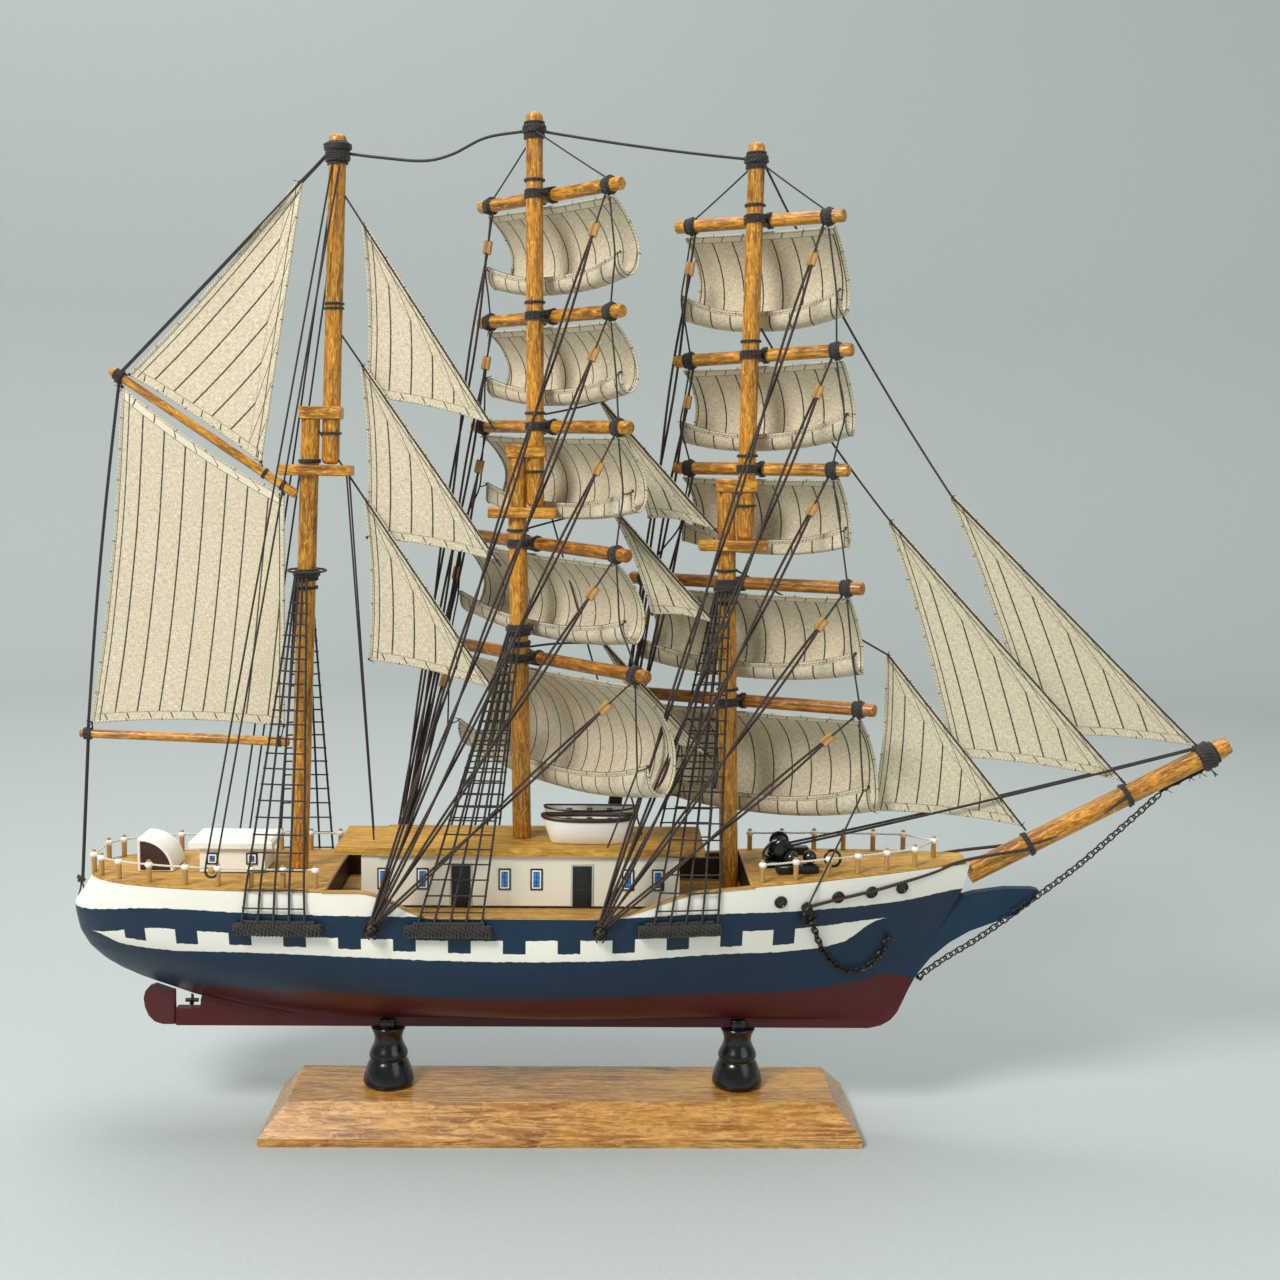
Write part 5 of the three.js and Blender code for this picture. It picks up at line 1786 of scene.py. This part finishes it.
def stays():
    """Staysails and jibs, and the standing lines between masts, bowsprit and deck."""
    parts = [part for name in (*MIZZEN_STAYS, *STAY_GAPS) for part in stay_parts(name)]
    mizzen, main, fore = MASTS["mizzen"], MASTS["main"], MASTS["fore"]
    tip, way = bowsprit_line()

    def head(m, down, dx):
        p = m.at(m.top_head.z - down, True)
        return V(p.x + dx, 0, p.z)

    triatic = spline([head(mizzen, 8, 4), V(-80, 0, 419.6), V(-62, 0, 418.6), V(-50, 0, 421.5),
                      V(-36, 0, 428.5), head(main, 8, -4)], 8)
    thick = [triatic, [p + V(0, 0.9, 0.35) for p in triatic]]
    second = straight(head(main, 8, 4), head(fore, 7, -4), 12, 0.8)
    thick += [second, [p + V(0, 0.9, 0.3) for p in second]]
    lines("triatic_stays", thick, 0.55, "ship", BLACK_THREAD, 7)

    paths = []
    for top, foot, bow in parts:
        for shift in (-0.55, 0.55):
            paths.append([p + V(0, shift + bow * 4 * (i / 10) * (1 - i / 10), 0)
                          for i, p in enumerate(straight(top, foot, 10))])
    lines("sail_stays", paths, 0.42, "ship", BLACK_THREAD)

    guys = []
    band = tip - way * 98.4
    for side in (-1, 1):
        pin = on_side(*PINS["bow"], side, 1.8)
        start = band + V(0, side * 5.0, -1.0)
        mid = [on_side(x, z, side, 0.7) for x, z in ((140, 113.0), (128, 110.6), (116, 108.4))]
        guys.append(spline([start, V(176, side * 8.6, 122.2), V(160, side * 13.6, 117.5)] + mid + [pin], 6))
    lines("bowsprit_guys", guys, 0.75, "ship", BROWN_CORD, 7)
    pairs = []
    for y in (-0.9, 0.9):
        pairs.append(straight(V(96, y * 3, 126), tip - way * 12 + V(0, y, 4.9), 14, 1.0))
    lines("bowsprit_head_lines", pairs, 0.62, "ship", BLACK_THREAD)


def mizzen_backstays(gaff_end, boom_end, topsail_head):
    """Backstays to the rail, the gaff's topping lift, the gaff topsail's halyard and the boom sheet."""
    mizzen = MASTS["mizzen"]
    top = mizzen.at(mizzen.top_head.z - 13, True)
    for side, name in SIDES:
        bead = V(-147.5, side * (top_half(-147.5) - 2.6), 121.5)
        pair = []
        for dx in (-2.2, 2.2):
            pair.append(straight(top + V(dx * 0.7, side * 3.6, 0), bead + V(dx, side * 0.6, 3.2), 14, 0.3))
        loop = [bead + V(2.6 * math.cos(a), side * 0.6, 2.6 * math.sin(a) - 0.2)
                for a in (math.pi + math.pi * i / 10 for i in range(11))]
        shape = Shape()
        for path in pair:
            tube(shape, path, 0.46, 6)
        tube(shape, loop, 0.6, 6)
        tube(shape, straight(pair[0][-1], loop[0], 2), 0.46, 6)
        tube(shape, straight(pair[1][-1], loop[-1], 2), 0.46, 6)
        ball(shape, bead, 1.5, 1, 16)
        shape.build("mizzen_backstay_" + name, [BLACK_THREAD, PALE_WOOD])
    stern = V(-211.5, 0, 108.5)
    shape = Shape()
    end = boom_end - UP * 2.2
    for shift in (-0.55, 0.55):
        tube(shape, straight(stern + V(0, shift, 0.5), end + V(0, shift, 0), 10), 0.6, 7)
    shape.build("boom_sheet", [BLACK_THREAD], ("ship", "spanker", stern * MM, end * MM), "dark_metal")
    tie = Shape()
    knot(tie, V(-212.2, 0, 109.2), 2.4, 5)
    tie.build("boom_sheet_knot", [BLACK_THREAD])
    head = mizzen.at(mizzen.top_head.z - 8, True) + V(-3.9, 0, 0)
    paths = [straight(head + V(0, y, 0), gaff_end + V(1, y, 1.6), 12, 0.3) for y in (-1.5, 1.5)]
    lines("gaff_lift", paths, 0.42, ("ship", "spanker", head * MM, gaff_end * MM), BLACK_THREAD)
    lines("gaff_topsail_halyard", [straight(head, topsail_head, 4)], 0.5,
          ("ship", "spanker", head * MM, topsail_head * MM), BLACK_THREAD)


# Height of the deckhouse roof where the falls end.
HOUSE_ROOF = 129.4


def deck_falls():
    """Falls from the course sails to the deck, and from the mast tops to the deckhouse roof."""
    for name, foot in (("main", V(18.5, -23.5, 130.4)), ("fore", on_side(*PINS["bow"], -1, 2.6))):
        corner = YARDS[name][-1].tie_ends[1]
        lines(f"{name}_course_fall", [straight(corner, foot, 8, 0.3)], 0.42,
              ("ship", name + "_yards", foot * MM, corner * MM), BLACK_THREAD)
    for name, x_deck, y_deck in (("mizzen", -85.5, 10), ("mizzen", -83.0, -8), ("main", 34, 6)):
        m = MASTS[name]
        foot = V(x_deck, y_deck, HOUSE_ROOF)
        start = V(m.board[1].x - 2, 0.4 * y_deck, m.board[0].z)
        side_name = "starboard" if y_deck < 0 else "port"
        lines(f"{name}_fall_{side_name}", [straight(start, foot, 8, 0.3)], 0.42, "ship", BLACK_THREAD)


# ---------- chains ----------
def chain(name, path, pitch, wire):
    """Oval links, each turned a quarter round from the last."""
    dense = spline(path, 12)
    runs = [0.0]
    for a, b in zip(dense, dense[1:]):
        runs.append(runs[-1] + (b - a).length)
    count = int(runs[-1] / pitch)
    shape = Shape()
    for n in range(count):
        spot = runs[-1] * (n + 0.5) / count
        k = next(i for i, r in enumerate(runs) if r >= spot)
        t = (spot - runs[k - 1]) / (runs[k] - runs[k - 1])
        centre = dense[k - 1].lerp(dense[k], t)
        way = (dense[k] - dense[k - 1]).normalized()
        flat = way.cross(V(0.2, 1, 0.1)).normalized()
        wide = flat if n % 2 else way.cross(flat)
        wide = (wide + 0.35 * way.cross(wide)).normalized()
        loop = []
        for angle in circle(14):
            loop.append(centre + way * (pitch * 0.72 * math.cos(angle))
                        + wide * (pitch * 0.48 * math.sin(angle)))
        tube(shape, loop, wire, 6, 0, True)
    shape.build(name, [CHAIN_METAL])


def chains():
    """Bobstay chain below the bowsprit, and an anchor chain with its ring on each bow."""
    spots = ((158.4, 0, 66.4), (170.4, 0, 75.2), (183.1, -1.6, 84.0), (195.8, -3.3, 94.0),
             (206.8, -3.4, 102.6), (216.4, -1.2, 108.8), (229.4, 0, 118.7), (240.2, 0, 128.6),
             (253.1, 0, 140.7), (263.6, 0, 150.6))
    chain("bobstay_chain", [V(*spot) for spot in spots], 3.0, 0.36)
    eye = Shape()
    hook = [V(154.5, 0, 69.5), V(157.6, 0, 67.6), V(159.6, 0.3, 65.2), V(160.4, -0.6, 67.0)]
    tube(eye, spline(hook, 5), 0.6, 7)
    eye.build("bobstay_eye", [CHAIN_METAL])
    for side, name in SIDES:
        spots = ((105.5, 103.0), (107.5, 97), (110, 90), (114, 82), (120, 75.5), (127, 72.6), (134, 74.5),
                 (139.5, 80), (142.0, 86.0))
        path = [on_side(x, z, side, 1.4) for x, z in spots]
        chain("anchor_chain_" + name, path, 2.9, 0.38)
        ring = Shape()
        root = on_side(105.2, 101.0, side, 2.2)
        out = side_normal(105.2, 101.0, side)
        u = out.cross(UP).normalized()
        w = out.cross(u)
        loop = [root + u * (3.0 * math.cos(a)) + w * (3.0 * math.sin(a))
                for a in circle(28)]
        tube(ring, loop, 0.75, 8, 0, True)
        end = on_side(142.6, 87.6, side, 0.3)
        turned(ring, [(0.6, -0.8), (0.7, 1.0), (1.5, 1.2), (1.7, 2.0), (1.2, 2.8), (0.3, 3.0)], end,
               side_normal(142.6, 87.6, side), 14)
        ring.build("hawse_ring_" + name, [CHAIN_METAL])


def bowsprit_radius(back):
    """Radius of the bowsprit at a distance back from its tip."""
    return mix(BOWSPRIT_TIP_RADIUS, BOWSPRIT_HEEL_RADIUS, back / BOWSPRIT_LENGTH)


def bowsprit_bands():
    tip, way = bowsprit_line()
    shape = Shape()
    for back, width, extra in ((98.4, 3.2, 0.1), (50.0, 3.2, 0.1), (10.5, 9.5, 0.1), (11.0, 7.0, 1.0)):
        centre = tip - way * back
        radius = bowsprit_radius(back) + extra
        coil(shape, centre, way, radius, width, 0.55)
    knot(shape, tip - way * 9 - UP * 6, 2.0, 9)
    below = way.cross(V(0, 1, 0)).normalized()
    below = below if below.z < 0 else -below
    for k, shift in enumerate((-0.8, 0.0, 0.9)):
        strand = []
        for i in range(6):
            back = 14 + i * 4.4
            drop = bowsprit_radius(back) + 0.5 + 0.5 * ((i + k) % 2)
            strand.append(tip - way * back + below * drop + V(0, shift, 0))
        tube(shape, spline(strand, 4), 0.4, 6)
    for back in (16, 21, 27, 33):
        knot(shape, tip - way * back + below * (bowsprit_radius(back) + 1.0), 1.1, back)
    cord = []
    for i in range(13):
        back = 50 + 48.4 * i / 12
        angle = mix(0.1, 0.9, math.sin(math.pi * i / 12))
        reach = bowsprit_radius(back) + 0.45
        drop = reach * (math.sin(angle) - 0.35)
        cord.append(tip - way * back - V(0, reach * math.cos(angle), 0) + below * drop)
    tube(shape, spline(cord, 3), 0.5, 6)
    shape.build("bowsprit_bands", [BLACK_THREAD])


# ---------- studio ----------
CAMERA_PLACE = V(12.6, -700.0, 296.4)
CAMERA_DOWN = math.radians(6.46)
CAMERA_TURN = math.radians(1.57)
CAMERA_ROLL = math.radians(-0.79)
LENS = 45.49
FLOOR_RADIUS = 1450
WALL_CURVE = 520


def camera():
    data = bpy.data.cameras.new("camera")
    data.lens = LENS
    data.sensor_width = 36.0
    data.clip_start = 0.01
    data.clip_end = 20.0
    obj = bpy.data.objects.new("camera", data)
    bpy.context.scene.collection.objects.link(obj)
    level = V(math.cos(CAMERA_TURN), -math.sin(CAMERA_TURN), 0)
    ahead = V(math.sin(CAMERA_TURN), math.cos(CAMERA_TURN), 0)
    look = ahead * math.cos(CAMERA_DOWN) - UP * math.sin(CAMERA_DOWN)
    up = ahead * math.sin(CAMERA_DOWN) + UP * math.cos(CAMERA_DOWN)
    right = level * math.cos(CAMERA_ROLL) - up * math.sin(CAMERA_ROLL)
    up = level * math.sin(CAMERA_ROLL) + up * math.cos(CAMERA_ROLL)
    matrix = Matrix((right, up, -look)).transposed().to_4x4()
    matrix.translation = CAMERA_PLACE * MM
    obj.matrix_world = matrix
    bpy.context.scene.camera = obj


def studio():
    """Round pale floor that curves up into a wall on all sides."""
    profile = [(0.3, 0.0), (300, 0.0), (700, 0.0), (FLOOR_RADIUS, 0.0)]
    for i in range(1, 17):
        angle = math.pi / 2 * i / 16
        rise = WALL_CURVE * (1 - math.cos(angle))
        profile.append((FLOOR_RADIUS + WALL_CURVE * math.sin(angle), rise))
    profile += [(FLOOR_RADIUS + WALL_CURVE, height) for height in (900, 2400)]
    sides = 96
    points = [V(r * math.cos(a), r * math.sin(a), h) for r, h in profile
              for a in circle(sides)]
    faces = rings_faces(len(profile), sides, False)[:-1]
    mesh = bpy.data.meshes.new("studio_floor")
    mesh.from_pydata([p * MM for p in points], [], faces)
    mesh.polygons.foreach_set("use_smooth", [True] * len(mesh.polygons))
    floor = bpy.data.objects.new("studio_floor", mesh)
    bpy.context.scene.collection.objects.link(floor)
    look = Look("studio_paper", 0.7)
    fine = look.noise(look.place(), 0.5, 3.0)
    look.colour(look.blend(look.span(fine, 0.3, 0.7), linear("#b1b8b7"), linear("#b7bebd")))
    look.bump(fine, 0.05, 0.2)
    mesh.materials.append(look.material)


def lamp(name, place, aim, size, power, colour):
    data = bpy.data.lights.new(name, "AREA")
    data.shape = "DISK"
    data.size = size
    data.energy = power
    data.color = colour
    obj = bpy.data.objects.new(name, data)
    bpy.context.scene.collection.objects.link(obj)
    obj.location = place
    obj.rotation_mode = "QUATERNION"
    obj.rotation_quaternion = (Vector(aim) - Vector(place)).to_track_quat("-Z", "Y")


def lights():
    lamp("key_light", (-0.75, -0.95, 1.25), (0.0, 0.0, 0.2), 0.55, 23.5, (1.0, 0.98, 0.95))
    lamp("fill_light", (1.0, -0.95, 0.8), (0.0, 0.0, 0.22), 1.0, 3.5, (0.95, 0.98, 1.0))
    lamp("top_light", (0.1, 0.25, 1.6), (0.0, 0.1, 0.1), 1.2, 12.0, (1.0, 1.0, 1.0))
    lamp("wall_light", (-0.6, 0.9, 2.1), (-0.75, 1.97, 1.2), 1.2, 16.0, (1.0, 1.0, 1.0))
    world = bpy.data.worlds.new("studio_air")
    world.use_nodes = True
    world.node_tree.nodes["Background"].inputs[0].default_value = linear("#dbd8d2")
    world.node_tree.nodes["Background"].inputs[1].default_value = 0.5
    bpy.context.scene.world = world
    bpy.context.scene.view_settings.view_transform = "Standard"


# ---------- making ----------
camera()
studio()
lights()
stand()
hull()
decks()
portholes()
small_hull_parts()
deckhouse()
aft_cabin()
steering_box()
lifeboat("lifeboat_starboard", BROWN_PLACE, 1.15)
lifeboat("lifeboat_port", BLACK_PAINT, 0.55)
windlass()
forecastle_fittings()
rails()
for mast_name in ("mizzen", "main", "fore"):
    mast(mast_name)
bowsprit()
boom_and_gaff()
mast_wraps()
bowsprit_bands()
pins()
for net in SHROUDS:
    for net_side, net_word in SIDES:
        channel(f"{net}_{net_word}", net_side, *SHROUDS[net][0])
        shroud_net(net, net_side)
for mast_name in ("main", "fore"):
    yard_set(mast_name)
    yard_cords(mast_name)
    for brace_side in (-1, 1):
        braces(mast_name, brace_side)
stays()
gaff_place, boom_place, topsail_place = spanker()
mizzen_backstays(gaff_place, boom_place, topsail_place)
deck_falls()
chains()
